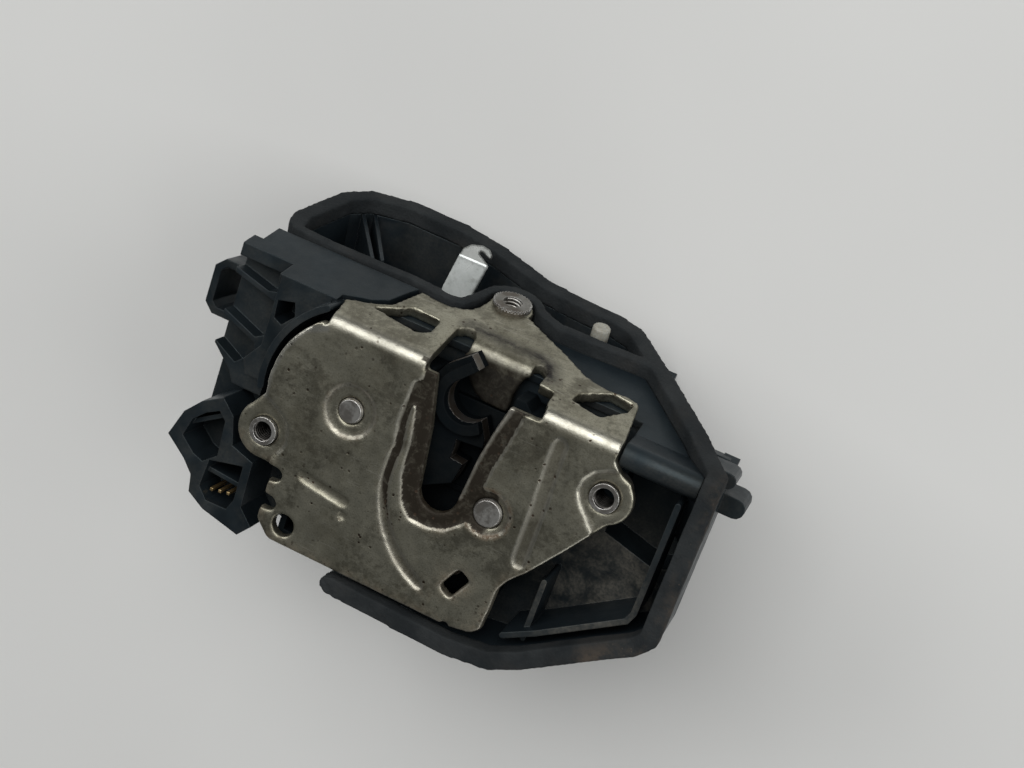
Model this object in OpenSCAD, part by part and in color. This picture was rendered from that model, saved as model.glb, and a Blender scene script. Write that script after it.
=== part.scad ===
// Car door lock: a pressed face plate with a striker mouth, a rotary catch and
// pawl behind it, and a moulded housing with the handle lever, lock drive and seal.
// Frame: origin at the left threaded bush on the plate's outer face, +X along
// the bend, +Y towards the flange side, +Z out of the face plate. Millimetres.

/* [Face plate] */
// Thickness of the face plate and its flange
plate_t = 3; // [2.5:0.25:3.5]
// Distance along the bend between the two face bushes
bush_dx = 85.4; // [84:0.2:88]
// Height of the right bush above the left one
bush_dy = 21.4; // [20:0.2:23]
// Height of the outer bend corner above the left bush
bend_y = 35.2; // [34.6:0.2:36.6]
// Outer radius of the bend
bend_r = 4; // [3.5:0.25:5]
// Angle that the flange leans away from square
flange_lean = 15; // [12:1:18]
// Radius of the left bush's lobe
left_lobe_r = 7.5; // [6.8:0.1:8]
// Radius of the right bush's lobe
right_lobe_r = 6.9; // [6.4:0.1:7.4]
// Height of the plate's bottom edge below the left bush
plate_drop = 26.2; // [25.4:0.2:27]
// Radius of the mouth's closed end
mouth_r = 5; // [4.6:0.1:5.6]
// Place of the mouth's closed end along the bend
mouth_x = 47.5; // [47:0.1:48]
// Depth of the pressed-in pads, ribs and bands
press_d = 0.8; // [0.4:0.1:1.2]
// Radius of the pressed groove round the pawl pin
groove_r = 26.8; // [26:0.1:27.6]
// Width of the pressed groove
groove_w = 2.6; // [2:0.1:3]

/* [Threaded bushes] */
// Core radius of the M6 thread
thread_r = 2.55; // [2.4:0.05:2.7]
// Radius of a bush's shank in the sheet
bush_shank_r = 3.6; // [3.4:0.05:4]
// Radius of a bush's body behind the sheet
bush_body_r = 5; // [4.6:0.1:5.4]
// Length of a bush behind the sheet
bush_l = 6; // [4:0.5:7]
// Distance of the flange bush from the bend corner
flange_bush_s = 37.5; // [37:0.1:38]
// Place of the flange bush along the bend
flange_bush_x = 40.2; // [39.8:0.1:40.6]
// Radius of the flange bush's serrated collar
collar_r = 5.1; // [4.9:0.1:5.4]
// Height of the serrated collar
collar_h = 1.3; // [1:0.1:1.6]

/* [Catch and pawl] */
// Place of the catch pin along the bend
catch_x = 20; // [19.6:0.1:20.4]
// Height of the catch pin above the left bush
catch_y = 14.5; // [14.2:0.1:14.8]
// Place of the pawl pin along the bend
pawl_x = 60.6; // [60.4:0.1:61]
// Height of the pawl pin above the left bush
pawl_y = 5.4; // [5.2:0.1:5.6]
// Turn of the catch from open to closed
catch_turn = 46; // [44:1:48]
// Turn of the pawl from engaged to lifted
pawl_turn = 8; // [7.5:0.5:9]
// Radius of the catch pin
catch_pin_r = 5; // [4.5:0.1:5.5]
// Radius of the pawl pin
pawl_pin_r = 4.5; // [4:0.1:4.6]
// Radius of the rivet end on the catch pin
catch_rivet_r = 3.25; // [3:0.05:3.5]
// Radius of the rivet end on the pawl pin
pawl_rivet_r = 3.65; // [3.4:0.05:3.8]
// Radial running clearance on pins and shafts
pin_gap = 0.06; // [0.03:0.01:0.09]
// Distance of the catch's striker slot from its pin
slot_reach = 28.9; // [28.5:0.1:29.2]
// Radius of the striker slot in the catch
slot_r = 5.6; // [5.2:0.1:6]
// Outer radius of the catch's latching tooth
tooth_r = 29.5; // [29:0.1:29.6]
// Outer radius of the arm that the striker meets
nose_r = 33; // [32.5:0.1:33.2]
// Room between the face plate and the case floor
bay_d = 11.5; // [11.25:0.25:12]
// Thickness of the case floor
floor_t = 2; // [1.5:0.25:2.5]
// Thickness of the back plate
back_t = 2; // [1.5:0.25:2.5]
// Thickness of the steel cores of catch and pawl
core_t = 4; // [3.5:0.25:4.5]
// Width of the raised rim on the catch's jacket
rim_w = 2.6; // [2:0.1:3]

/* [Housing] */
// Wall thickness of the moulded housing
wall = 2; // [1.6:0.1:2.4]
// Thickness of the deck behind the latch
deck_t = 3; // [2.5:0.25:3.5]
// Depth of the housing's rear edge below the face
rear_z = 73; // [73:0.5:76]
// Thickness of the rear cover
cover_t = 3; // [2.5:0.25:3.5]
// Depth of the cable tray below the flange face
tray_d = 20; // [19:0.5:20.5]
// Left-hand side of the rear body
body_left = -24; // [-25:0.5:-23.5]
// Right-hand side of the rear body
body_right = 81; // [80.5:0.5:83]
// Lower side of the rear body
body_low = -28; // [-28.5:0.25:-27.5]
// Radius of the cover screws' heads
screw_head_r = 2.8; // [2.4:0.1:3]

/* [Seal] */
// Width of the outer seal
seal_w = 5; // [4.5:0.1:5.4]
// Width of the seal between tray and flange
bar_w = 3; // [2.6:0.1:3.2]
// Height of the seal
seal_h = 5; // [4.5:0.25:5.5]
// Height that the seal stands above the plate's face
seal_proud = 1; // [0.5:0.1:1.4]

/* [Release lever] */
// Thickness of the lever's sheet
lever_t = 2; // [1.6:0.1:2.4]
// Width of the lever's upright end
lever_w = 8.4; // [8:0.1:8.6]
// Place of the lever's pin along the bend
lever_x = 25; // [24.6:0.1:25.4]
// Height of the lever's pin above the left bush
lever_y = 4; // [3.8:0.1:4.4]
// Radius of the lever's pin
lever_pin_r = 2.5; // [2.2:0.1:2.8]
// Turn of the lever from rest to pulled
lever_turn = 12; // [10:1:12]

/* [Lock drive] */
// Teeth of the worm wheel
wheel_teeth = 30; // [30:1:30]
// Teeth of the pinion
pinion_teeth = 12; // [12:1:12]
// Tooth module of the drive
tooth_m = 1; // [1:0.05:1.05]
// Place of the worm wheel along the bend
wheel_x = 56; // [55.5:0.5:57]
// Height of the worm wheel's axis above the left bush
wheel_y = 5; // [4.5:0.25:5.25]
// Face width of the worm wheel
wheel_w = 5; // [4:0.5:5.5]
// Pitch radius of the worm
worm_r = 4; // [3.8:0.1:4.2]
// Radius of the motor's can
motor_r = 11.5; // [11:0.1:11.8]
// Length of the motor's can
motor_l = 34; // [32:0.5:36]
// Radius of the motor's shaft
shaft_r = 1.2; // [1:0.1:1.4]
// Travel of the lock slider
slider_travel = 8; // [7:0.5:8]
// Radius of the off-white lock peg
peg_r = 2.35; // [2.2:0.05:2.5]

/* [Hidden] */
$fn = 48;
eps = 0.01;
// Clearance between pieces of different bodies, and round seated pieces
gap = 0.3;
// Clearance of a riveted or pushed-in end in its hole
seat = 0.05;

sheet_grey = [0.55, 0.53, 0.47];
steel = [0.62, 0.62, 0.6];
black = [0.1, 0.11, 0.12];
seal_grey = [0.2, 0.2, 0.19];
zinc = [0.7, 0.73, 0.72];
copper = [0.72, 0.45, 0.25];

// Tangent length of the bend, and the heights and depths that follow from the sheet
bend_turn = 90 - flange_lean;
bend_tan = bend_r * tan(bend_turn / 2);
flat_top = bend_y - bend_tan;
// Height of the tongue, and where its fold leaves the tongue and the flange
tongue_z = -14;
fold_r = 3.6;
fold_tan = fold_r * tan(bend_turn / 2);
fold_s = -tongue_z / cos(flange_lean) + fold_tan - eps;
fold_y = bend_y - tongue_z * tan(flange_lean) - fold_tan;
case_z = -plate_t - bay_d;
back_z = case_z - floor_t;
deck_z = back_z - back_t;
hold_z = deck_z - deck_t;
cover_z = -rear_z;
tray_z = -tray_d - wall;
big = 200;

catch_at = [catch_x, catch_y];
pawl_at = [pawl_x, pawl_y];
lever_at = [lever_x, lever_y];
wheel_at = [wheel_x, wheel_y];
right_at = [bush_dx, bush_dy];
nut_at = [flange_bush_x, flange_bush_s];
nut_lobe_r = collar_r + 0.7;
bend_right = bush_dx - 0.6;

function polar(r, a) = [r * cos(a), r * sin(a)];
function arc(c, r, a0, a1, n = 10) = [for (i = [0:n]) c + polar(r, a0 + (a1 - a0) * i / n)];
function turned(p, c, a) = c + [
    (p[0] - c[0]) * cos(a) - (p[1] - c[1]) * sin(a),
    (p[0] - c[0]) * sin(a) + (p[1] - c[1]) * cos(a)];

// Points given from the right bush
function from_right(pts) = [for (p = pts) right_at + p];

// Carries a flat drawing in (x, distance from the bend, height) onto the flange
module on_flange() {
    translate([0, bend_y, 0])
        rotate([-bend_turn, 0, 0])
            children();
}

// Prism between two heights
module slab(z0, z1) {
    translate([0, 0, z0])
        linear_extrude(z1 - z0)
            children();
}

// Prism along X between two places, drawn in (y, z)
module bar_x(x0, x1) {
    translate([x0, 0, 0])
        rotate([90, 0, 90])
            linear_extrude(x1 - x0)
                children();
}

// Points beside a line at a distance to its left, mitred at the corners
function unit(v) = v / norm(v);
function left_of(a, b) = let (d = unit(b - a)) [-d[1], d[0]];
function mitred(p, n0, n1, d) = p + d * (n0 + n1) / (1 + n0 * n1);
function beside(pts, d) = let (last = len(pts) - 1)
    [for (i = [0:last])
        mitred(pts[i], left_of(pts[max(i - 1, 0)], pts[max(i, 1)]),
            left_of(pts[min(i, last - 1)], pts[min(i + 1, last)]), d)];
function reversed(pts) = [for (i = [len(pts) - 1:-1:0]) pts[i]];

// Closed outline grown by a distance, its corners mitred
function grown(pts, d) = let (n = len(pts))
    [for (i = [0:n - 1])
        mitred(pts[i], left_of(pts[(i + n - 1) % n], pts[i]),
            left_of(pts[i], pts[(i + 1) % n]), -d)];

// Line of constant width through points, with round ends
module stroke(pts, w) {
    last = len(pts) - 1;
    run0 = pts[1] - pts[0];
    run1 = pts[last] - pts[last - 1];
    a0 = atan2(run0[1], run0[0]) + 180;
    a1 = atan2(run1[1], run1[0]);
    polygon(concat(beside(pts, w / 2), arc(pts[last], w / 2, a1 + 60, a1 - 60, 4),
        reversed(beside(pts, -w / 2)), arc(pts[0], w / 2, a0 + 60, a0 - 60, 4)));
}

// Disc at a point
module disc(p, r) {
    translate(p)
        circle(r);
}

// Turns children about an upright axis through a point
module turn_at(p, a) {
    translate([p[0], p[1], 0])
        rotate(a)
            translate([-p[0], -p[1], 0])
                children();
}

// Everything at or below a height over the flange, up to a distance from the bend
module below_flange(top, far = big) {
    on_flange()
        translate([-big, -big, top - 2 * big])
            cube([2 * big, big + far, 2 * big]);
}

// Cuts children off at the underside of the cable tray
module below_tray() {
    intersection() {
        children();
        below_flange(tray_z + wall);
    }
}

// Face plate outline
module face_outline() {
    difference() {
        union() {
            polygon(concat(
                [[7.9, flat_top], [7.9, 33], [7.4, 32]],
                arc(catch_at, 22.8, 126, 192),
                [[-5.2, 5.4], [-5, -5.6], [-1.8, -7.2], [5, -7.6], [5, -25], [9.1, -25.9]],
                [[10, -plate_drop], [61, -plate_drop], [66.9, -25.1], [68.9, -23.2]],
                [[69.3, -18.2], [69.5, -11.3], [71.1, -8.2], [74.7, -4.2]],
                from_right([[-4.4, -16.9], [1.1, -8.8], [6.8, -0.4], [4.6, 5.6], [1.6, 6.8],
                    [-0.9, 9.8]]),
                [[bend_right, flat_top]]
            ));
            disc([0, 0], left_lobe_r);
            disc(right_at, right_lobe_r);
        }
        stroke([[-4, -9.3], [6.7, -9.3]], 3.4);
        stroke([[2, -17], [7.3, -17]], 3.6);
        polygon([[0, -21.3], [4.1, -21.3], [9.1, -25.9], [9.1, -30], [0, -30]]);
        polygon([[0, -11], [4.5, -11], [4.3, -15.2], [0, -15.2]]);
        polygon([[0, -18.8], [4.1, -18.8], [4.1, -21.3], [0, -21.3]]);
    }
}

// Striker mouth, open at the bend
module mouth() {
    mouth_at = [mouth_x, mouth_r - 0.2];
    disc(mouth_at, mouth_r);
    polygon([
        mouth_at + [-mouth_r, 0], [40.6, 19], [37.4, flat_top + 1],
        [57.2, flat_top + 1], [55.1, 24.8], [53.6, 16.6], mouth_at + [mouth_r, 0]
    ]);
}

// Band round the mouth that lies lower than the face
module mouth_low() {
    polygon([
        [34.3, flat_top + 1], [34.5, 26], [36.4, 16], [37.2, 5.1], [39.6, -1.8], [42.5, -4.6],
        [47.1, -4.9], [51.8, -3.5], [55.8, -0.1], [57.8, 4], [57.8, 11.5], [58.3, 16.1],
        [59.9, 24], [61.1, 31.5], [61.4, flat_top + 1]
    ]);
}

// Pads, ribs and rings pressed into the face
module face_pressings() {
    mouth_low();
    disc(catch_at, 6.7);
    disc(pawl_at, 5.85);
    intersection() {
        disc([-0.5, 0.6], 9);
        polygon([[-12, 9.6], [-2.4, 9.3], [1.7, 7.3], [5, 4.9], [6.5, 2.2], [7, -1.2],
            [3.9, -6.8], [2, -12], [-12, -12]]);
    }
    polygon(from_right([[-4.7, -4.4], [-6.7, -1.1], [-6.5, 1.9], [-4.2, 5.2], [-0.4, 7.2],
        [10.6, 8.6], [10.6, -9.4], [0.6, -9.8]]));
    stroke([[71.4, 28.8], [71.9, -2.3]], 3.6);
    stroke([[13.5, -6.3], [25.8, -8]], 2.6);
    disc([26.4, -11.5], 1.2);
    stroke(concat([[34, 28], [33.4, 18]], arc(pawl_at, groove_r, 167, 248, 12)), groove_w);
}

// Bent strip of the sheet between two places along the bend, about a centre in (y, z)
module sheet_bend(x0, x1, centre, r) {
    bar_x(x0, x1)
        translate(centre)
            intersection() {
                difference() {
                    circle(r);
                    circle(r - plate_t);
                }
                polygon([[0, 0], [0, 2 * r], [2 * r, 2 * r], polar(3 * r, flange_lean)]);
            }
}

module flange_outline() {
    difference() {
        union() {
            polygon([[8, bend_tan - eps], [7, 9.4], [13.2, 12.5], [16.9, 15.6], [18.9, 23.4],
                [19.7, 26.2], [28.3, 25.7], [32.6, 28], [33.9, 31.3], nut_at + [-5.6, -1.6],
                nut_at + [5.5, -1.7], [52.3, 31.6], [61.7, 25.5], [67.9, 20.8],
                [74.2, 19.4], [79.3, 20.2], [82.6, 18.8], [bend_right, bend_tan - eps]]);
            disc(nut_at, nut_lobe_r);
        }
        polygon([[34.5, 0], [34, 18], [36, 20], [38, 20], [39.3, fold_s], [56, fold_s],
            [57.5, 17.6], [59.7, 15.7], [59.8, 9.6], [64, 9.1], [64.4, 3], [65, 0]]);
        polygon([[13.4, 11], [19.5, 15.9], [21.2, 18.2], [29.2, 17.9], [29.7, 11.1],
            [27.1, 8.5]]);
        polygon([[68.5, 9], [69, 13], [75.5, 19], [81.5, 18], [81.2, 14], [76.5, 7]]);
        disc(nut_at, bush_shank_r + seat);
    }
}

// Tongue folded in from the flange behind the mouth
module tongue() {
    slab(tongue_z - plate_t, tongue_z)
        polygon([[39.4, fold_y + eps], [38.6, 35], [41.1, 30.4], [43.9, 27.3], [46.8, 25.9],
            [53.2, 25.7], [53.5, 27.2], [53.4, 30.4], [54.1, 33.7], [55.2, fold_y + eps]]);
    sheet_bend(39.4, 55.9, [fold_y, tongue_z - fold_r], fold_r);
}

module face_plate() color(sheet_grey) {
    difference() {
        union() {
            slab(-plate_t, 0)
                face_outline();
            sheet_bend(7.9, 34.5, [flat_top, -bend_r], bend_r);
            sheet_bend(65, bend_right, [flat_top, -bend_r], bend_r);
            on_flange()
                slab(-plate_t, 0)
                    flange_outline();
            tongue();
        }
        slab(-plate_t - 1, 1)
            mouth();
        slab(-press_d, 1)
            face_pressings();
        slab(-plate_t - 1, 1) {
            disc([0, 0], bush_shank_r + seat);
            disc(right_at, bush_shank_r + seat);
            disc(catch_at, catch_rivet_r + seat);
            disc(pawl_at, pawl_rivet_r + seat);
            disc([12.5, -21], 2.9);
            translate([59, -14.9])
                rotate(-28)
                    square([3.85, 7.2], center = true);
            disc([60, -plate_drop], 1);
        }
    }
}

// Threaded bush with its shank in the sheet and its body behind it
module bush(front) {
    difference() {
        union() {
            slab(-plate_t - bush_l, -plate_t)
                circle(bush_body_r);
            slab(-plate_t - eps, front)
                circle(bush_shank_r);
        }
        slab(-plate_t - bush_l - 1, front + 1)
            circle(thread_r);
    }
}

module left_bush() color(steel) bush(0);

module right_bush() color(steel) {
    translate([bush_dx, bush_dy, 0])
        bush(0);
}

// Flange bush with a toothed collar on the outer face
collar_teeth = 36;
module flange_bush() color(steel) {
    on_flange()
        translate([flange_bush_x, flange_bush_s, 0]) {
            bush(eps);
            difference() {
                slab(0, collar_h)
                    circle(collar_r);
                slab(-1, collar_h + 1)
                    circle(thread_r);
                for (i = [0:collar_teeth - 1])
                    rotate(i * 360 / collar_teeth)
                        translate([collar_r, 0, collar_h])
                            rotate([0, 45, 0])
                                cube([0.5, 0.4, 1.2], center = true);
            }
        }
}

// Shouldered pin riveted into the face plate and the back plate
head_h = 0.6;
module rivet_pin(r, rivet_r) {
    slab(back_z, -plate_t)
        circle(r);
    slab(deck_z, back_z + eps)
        circle(rivet_r);
    slab(-plate_t - eps, -press_d)
        circle(rivet_r);
    translate([0, 0, -press_d])
        cylinder(h = head_h, r1 = rivet_r, r2 = rivet_r - 0.4);
    slab(deck_z - head_h, deck_z)
        circle(rivet_r + 1);
}

module catch_pin() color(steel) {
    translate([catch_x, catch_y, 0])
        rivet_pin(catch_pin_r, catch_rivet_r);
}

module pawl_pin() color(steel) {
    translate([pawl_x, pawl_y, 0])
        rivet_pin(pawl_pin_r, pawl_rivet_r);
}

// Pawl post that reaches back to the release lever, engaged place
post_r = 2;
post_at = [71.8, 8.6];
// Post's place at a turn of the pawl from rest, with lifted as rest
function post_turned(a) = turned(post_at, pawl_at, pawl_turn + a);
pawl_extra = 4;

// Slot that the post moves in
module post_window() {
    stroke([for (a = [-pawl_turn, 0, pawl_extra]) post_turned(a)], 2 * (post_r + 2 * gap));
}

// Edge of the latch case in the plate's outline
case_edge = concat(
    [[34.5, 30.4], [10.5, 30.4]], arc(catch_at, 19.8, 128, 192),
    [[6.6, 7.2], [8.2, 0], [7.8, -6.2], [11.2, -8.6], [11.2, -24], [60, -24], [65.4, -23],
        [66.8, -18], [67.2, -10.4], [69.4, -6], [77.6, 5.4], [77.6, 30.4], [60.6, 30.4]]);
case_wall = 1.6;

module back_plate() color(sheet_grey) {
    slab(deck_z, back_z)
        difference() {
            polygon(concat([[35.5, 29], [12, 29]], arc(catch_at, 19, 130, 190, 6),
                [[8.4, 6], [9, -4], [12.4, -7], [12.4, -22.8], [59.6, -22.8], [64.2, -21.8],
                    [65.6, -10], [68, -5.4], [76.4, 6], [76.4, 29], [62, 29], [57, 24],
                    [56.4, 8], [52, 2], [44, 2], [39, 8], [36.6, 24]]));
            disc(catch_at, catch_rivet_r + seat);
            disc(pawl_at, pawl_rivet_r + seat);
            post_window();
        }
}

module latch_case() color(black) {
    difference() {
        union() {
            slab(back_z, case_z)
                polygon(grown(case_edge, case_wall / 2));
            slab(case_z - eps, -plate_t)
                stroke(case_edge, case_wall);
        }
        slab(back_z - 1, -plate_t + 1) {
            disc(catch_at, catch_pin_r + gap);
            disc(pawl_at, pawl_pin_r + gap);
            post_window();
        }
        slab(-plate_t - bush_l - gap, -plate_t + 1) {
            disc([0, 0], bush_body_r + gap);
            disc(right_at, bush_body_r + gap);
        }
        slab(back_z - 1, -plate_t + 1)
            polygon([[38, 25.3], [56.3, 25.3], [56.3, 40], [38, 40]]);
    }
    slab(case_z - eps, -5.5)
        polygon([[56.6, 26.6], [60.9, 26.6], [61.3, 31.2], [59.2, 33.2], [56.6, 33.2]]);
    slab(case_z - eps, case_z + 0.8)
        stroke([[38.9, 23.6], [41, 8], [44.8, 2.6], [50.2, 2.6], [53.6, 8], [55, 23.6]], 1.4);
}

// Catch outline at rest, open towards the striker
slot_a = 27;
open_a = catch_turn;
slot_at = catch_at + polar(slot_reach, slot_a);
root_r = 24.3;
arm_t = 4;

// Striker slot in the catch, at a radius
module striker_slot(r) {
    disc(slot_at, r);
    translate(slot_at)
        rotate(open_a)
            translate([0, -r])
                square([30, 2 * r]);
}

module catch_outline() {
    tip = slot_at + polar(slot_r, open_a + 90) + polar(5.4, open_a);
    difference() {
        polygon(concat(
            [tip, tip + polar(arm_t, open_a + 90), [37.6, 33.8], [35.4, 29.6], [30, 27.3]],
            arc(catch_at, 12.5, 84, 250),
            [catch_at + polar(16, -80), catch_at + polar(21.5, -56)],
            arc(catch_at, root_r, -40, -30, 4),
            arc(catch_at, tooth_r, -16, -5.5, 5),
            arc(catch_at, 26, -5.5, 6, 5),
            arc(catch_at, nose_r, 6, 9, 2),
            [slot_at + polar(slot_r, open_a - 90) + [0.4, 0.4]],
            [slot_at]
        ));
        striker_slot(slot_r);
    }
}

// Steel core: the catch's body without its hub cap, bare at tooth and slot
core_z = -6.5;
module catch_core_shape() {
    intersection() {
        catch_outline();
        union() {
            disc(catch_at, 10);
            difference() {
                disc(catch_at, nose_r + 10);
                polygon([catch_at, catch_at + polar(60, 62), catch_at + polar(60, 120),
                    catch_at + polar(60, 180), catch_at + polar(60, 250),
                    catch_at + polar(60, 300)]);
            }
        }
    }
}

module rotary_catch() color(steel) {
    slab(core_z - core_t, core_z)
        difference() {
            catch_core_shape();
            disc(catch_at, catch_pin_r + pin_gap);
        }
}

jacket_low = case_z + 1.1;
web_z = core_z + 0.7;
rim_z = -plate_t - 2 * gap;
module catch_jacket() color(black) {
    difference() {
        union() {
            slab(jacket_low, web_z)
                catch_outline();
            slab(web_z - eps, rim_z)
                intersection() {
                    catch_outline();
                    striker_slot(slot_r + rim_w);
                }
            slab(web_z - eps, rim_z)
                disc(catch_at, catch_pin_r + 1.8);
        }
        slab(core_z - core_t, core_z)
            catch_core_shape();
        slab(jacket_low - 1, 0)
            disc(catch_at, catch_pin_r + pin_gap);
        slab(web_z - 1, 0)
            disc(spring_lug, 0.9);
    }
}
spring_lug = catch_at + polar(10.2, 200);

// Pawl outline, drawn engaged
pawl_hub_r = 7.4;
pawl_tip = [catch_at + polar(26.5, -50.6), catch_at + polar(29.9, -50.7)];
module pawl_outline() {
    polygon(concat(
        [pawl_tip[0], pawl_tip[1], [40.6, -13.2], [51, -15.6], [54.6, -14.8], [56.4, -12.6],
            [65.4, 0], [71.4, 5.2], [74.6, 6.4], [74.8, 9.6], [71.8, 12.1]],
        arc(pawl_at, pawl_hub_r, 33, 215, 14),
        [[48, -8.8], [44.8, -8.9], catch_at + polar(26.5, -46)]
    ));
}

module pawl() color(steel) {
    turn_at(pawl_at, pawl_turn)
        difference() {
            slab(core_z - core_t, core_z)
                pawl_outline();
            slab(core_z - 2 * core_t, core_z + 1) {
                disc(pawl_at, pawl_pin_r + pin_gap);
                disc(post_at, post_r - 0.6);
            }
        }
}

// Plastic cap over the pawl's hub and arm, with the post for the lever
post_low = hold_z - 8.6;
module pawl_jacket() color(black) {
    turn_at(pawl_at, pawl_turn) {
        slab(core_z, core_z + 1.2)
            difference() {
                union() {
                    disc(pawl_at, pawl_hub_r);
                    disc(post_at, 3);
                    stroke([pawl_at, post_at], 5);
                    stroke([pawl_at, [52, -11]], 6);
                }
                disc(pawl_at, pawl_pin_r + pin_gap);
            }
        slab(core_z - core_t - 1.2, core_z - core_t)
            difference() {
                disc(post_at, 3);
                disc(pawl_at, pawl_pin_r + pin_gap);
            }
        slab(core_z - core_t - 1.2, core_z + eps)
            disc(post_at, post_r - 0.6);
        slab(post_low, core_z - core_t - 1)
            disc(post_at, post_r);
    }
}

// Middle of the outer seal along the face side, from its torn end to the bend
seal_face = [[28.6, -30], [62, -30.9], [73.2, -29.4], [80.7, -25.5], [93, -17], [104.4, -9.4],
    [107.4, -6], [107.4, 40]];
// Middle of the outer seal round the flange side, in distances from the bend
seal_flange = [[107.4, -3], [107.4, 3.6], [98.2, 17], [85.2, 32.8], [75, 44.6], [70.8, 49.6],
    [65, 51.6], [56, 52.1], [43.5, 53.8], [26.5, 61.4], [14, 64.7], [-2, 65.3],
    [-13.4, 61.7], [-18, 56], [-21.4, 37], [-20.4, 32.6]];
// Middle of the seal between the tray and the flange
seal_bar = concat([[-20.4, 32.6], [-19, 30.4], [-6, 28.9], [15, 30], [26, 28.4], [29.8, 29.2],
    [31.4, 33.4]], arc(nut_at, nut_lobe_r + gap + bar_w / 2, 158, 22, 8),
    [[49.6, 38.8], [54, 36.6], [62, 36.6], [78, 37.6], [81.6, 37.2]]);

seal_low = seal_proud - seal_h;
module perimeter_seal() color(seal_grey) {
    intersection() {
        slab(seal_low, seal_proud)
            stroke(seal_face, seal_w - 2 * eps);
        below_flange(seal_proud);
    }
    intersection() {
        on_flange()
            slab(seal_low, seal_proud) {
                stroke(seal_flange, seal_w);
                stroke(seal_bar, bar_w);
            }
        translate([-big, -big, seal_proud - 2 * big])
            cube(2 * big);
    }
}

// Housing, put together from the pieces below
deck_edge = [[-24, 8], [-24, -24], [-20, -28], [26, -28], [28, -31], [62, -31], [73.2, -29.4],
    [80.7, -25.5], [93, -17], [104.4, -9.4], [107.4, -6], [107.4, 36.5], [-24, 36.5]];
thin_edge = [[74, -23.2], [81.5, -18.8], [100.6, -5.6], [101.6, -3], [101.6, 26]];
pocket_edge = [[86, 6.6], [100.5, 3], [104.6, 5], [104.6, 27], [86, 27]];
pocket_z = -32;
plateau = [[-22.6, 14], [-10.6, 14], [-10.6, 7.4], [5.5, 7.4], [5.5, 10.5], [12, 13.6],
    [15.4, 16.8], [17.4, 24], [18.6, 26.9], [-22.6, 26.9]];
panel = concat([[-22.6, 16], [-22.6, 30.4]], seal_bar,
    [[86, 32], [98.2, 17], [105, 6], [105, 3], [85.2, 3], [85.2, 17]]);
rail_y = 17.3;

// Section of the rear body, drawn in by an inset, open-ended upwards for the tray to close
body_r = 4;
module body_section(inset) {
    x0 = body_left + inset;
    x1 = body_right - inset;
    y0 = body_low + inset;
    r = body_r - inset;
    translate([x0, y0 + r])
        square([x1 - x0, big / 2]);
    translate([x0 + r, y0])
        square([x1 - x0 - 2 * r, big / 2]);
    disc([x0 + r, y0 + r], r);
    disc([x1 - r, y0 + r], r);
}

cover_spots = [[-18.5, -22.5], [28, -22.6], [75.5, -22.5], [-18.5, 17], [75.5, 17]];

module housing_solid() {
    intersection() {
        slab(hold_z, deck_z)
            polygon(deck_edge);
        below_flange(-plate_t);
    }
    below_tray()
        slab(cover_z, hold_z + eps)
            difference() {
                body_section(0);
                body_section(wall);
            }
    intersection() {
        slab(hold_z, seal_low)
            stroke(seal_face, 4);
        below_flange(seal_low);
    }
    slab(deck_z - eps, -plate_t)
        stroke(thin_edge, 1.5);
    slab(pocket_z, hold_z + eps)
        polygon(grown(pocket_edge, 1.5));
    on_flange() {
        slab(tray_z, seal_low) {
            stroke(seal_flange, 4);
            stroke(seal_bar, 2.4);
        }
        slab(tray_z, tray_z + wall)
            polygon(concat([for (i = [3:len(seal_flange) - 1]) seal_flange[i]], seal_bar));
        slab(-plate_t - 2, -plate_t)
            polygon(panel);
        slab(-plate_t, 0)
            polygon(plateau);
    }
    intersection() {
        on_flange()
            slab(-tray_d, 0)
                polygon(plateau);
        translate([-big, -big, deck_z - 2 * big])
            cube(2 * big);
    }
}

// Upstands on the left: two steps, a wall round the plate's lobe and a cable eye
module left_side() {
    intersection() {
        union() {
            slab(deck_z - eps, -13.5)
                polygon([[-25.2, 60], [-25.2, 11], [-19.2, 5.6], [-17.5, 2.6], [-9, 2.6],
                    [-9, 60]]);
            difference() {
                slab(deck_z - eps, -7.2)
                    polygon([[-10, 60], [-10, 18], [-13.6, 12.7], [-12, 9], [0, 9], [8, 60]]);
                slab(deck_z, 1)
                    disc(catch_at, 24.4);
            }
        }
        below_flange(0, 26.9);
    }
    slab(deck_z - eps, -2)
        stroke(arc(catch_at, 25.4, 124, 190, 14), 1.8);
    slab(-40, -22)
        stroke([[-24.5, 29], [-32, 29], [-34, 27], [-34, 17.5], [-32, 15.6], [-24.5, 15.6]], 2);
}

// Room for the seal along the rims
module seal_bed() {
    slab(seal_low, 2 * seal_h)
        stroke(seal_face, seal_w + gap);
    on_flange()
        slab(seal_low, 2 * seal_h) {
            stroke(seal_flange, seal_w + gap);
            stroke(seal_bar, bar_w + gap);
        }
}

// Hollows between the thin ribs of the left upstands
module left_pockets() {
    slab(-17, 1)
        polygon([[-9.2, 30.6], [-4.6, 31.8], [-3.6, 28.3], [-6.5, 25], [-8.8, 26]]);
    slab(-18, 1) {
        polygon([[-27, 35.4], [-27, 32.6], [-15, 29.6], [-12, 30.4], [-12, 35.4]]);
        polygon([[-27, 31.2], [-27, 21.2], [-15, 16.8], [-12, 18.6], [-12, 27.4]]);
        polygon([[-27, 19.8], [-27, 12.6], [-18.4, 8.2], [-14, 12.6], [-14.6, 15.2]]);
    }
}

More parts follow.
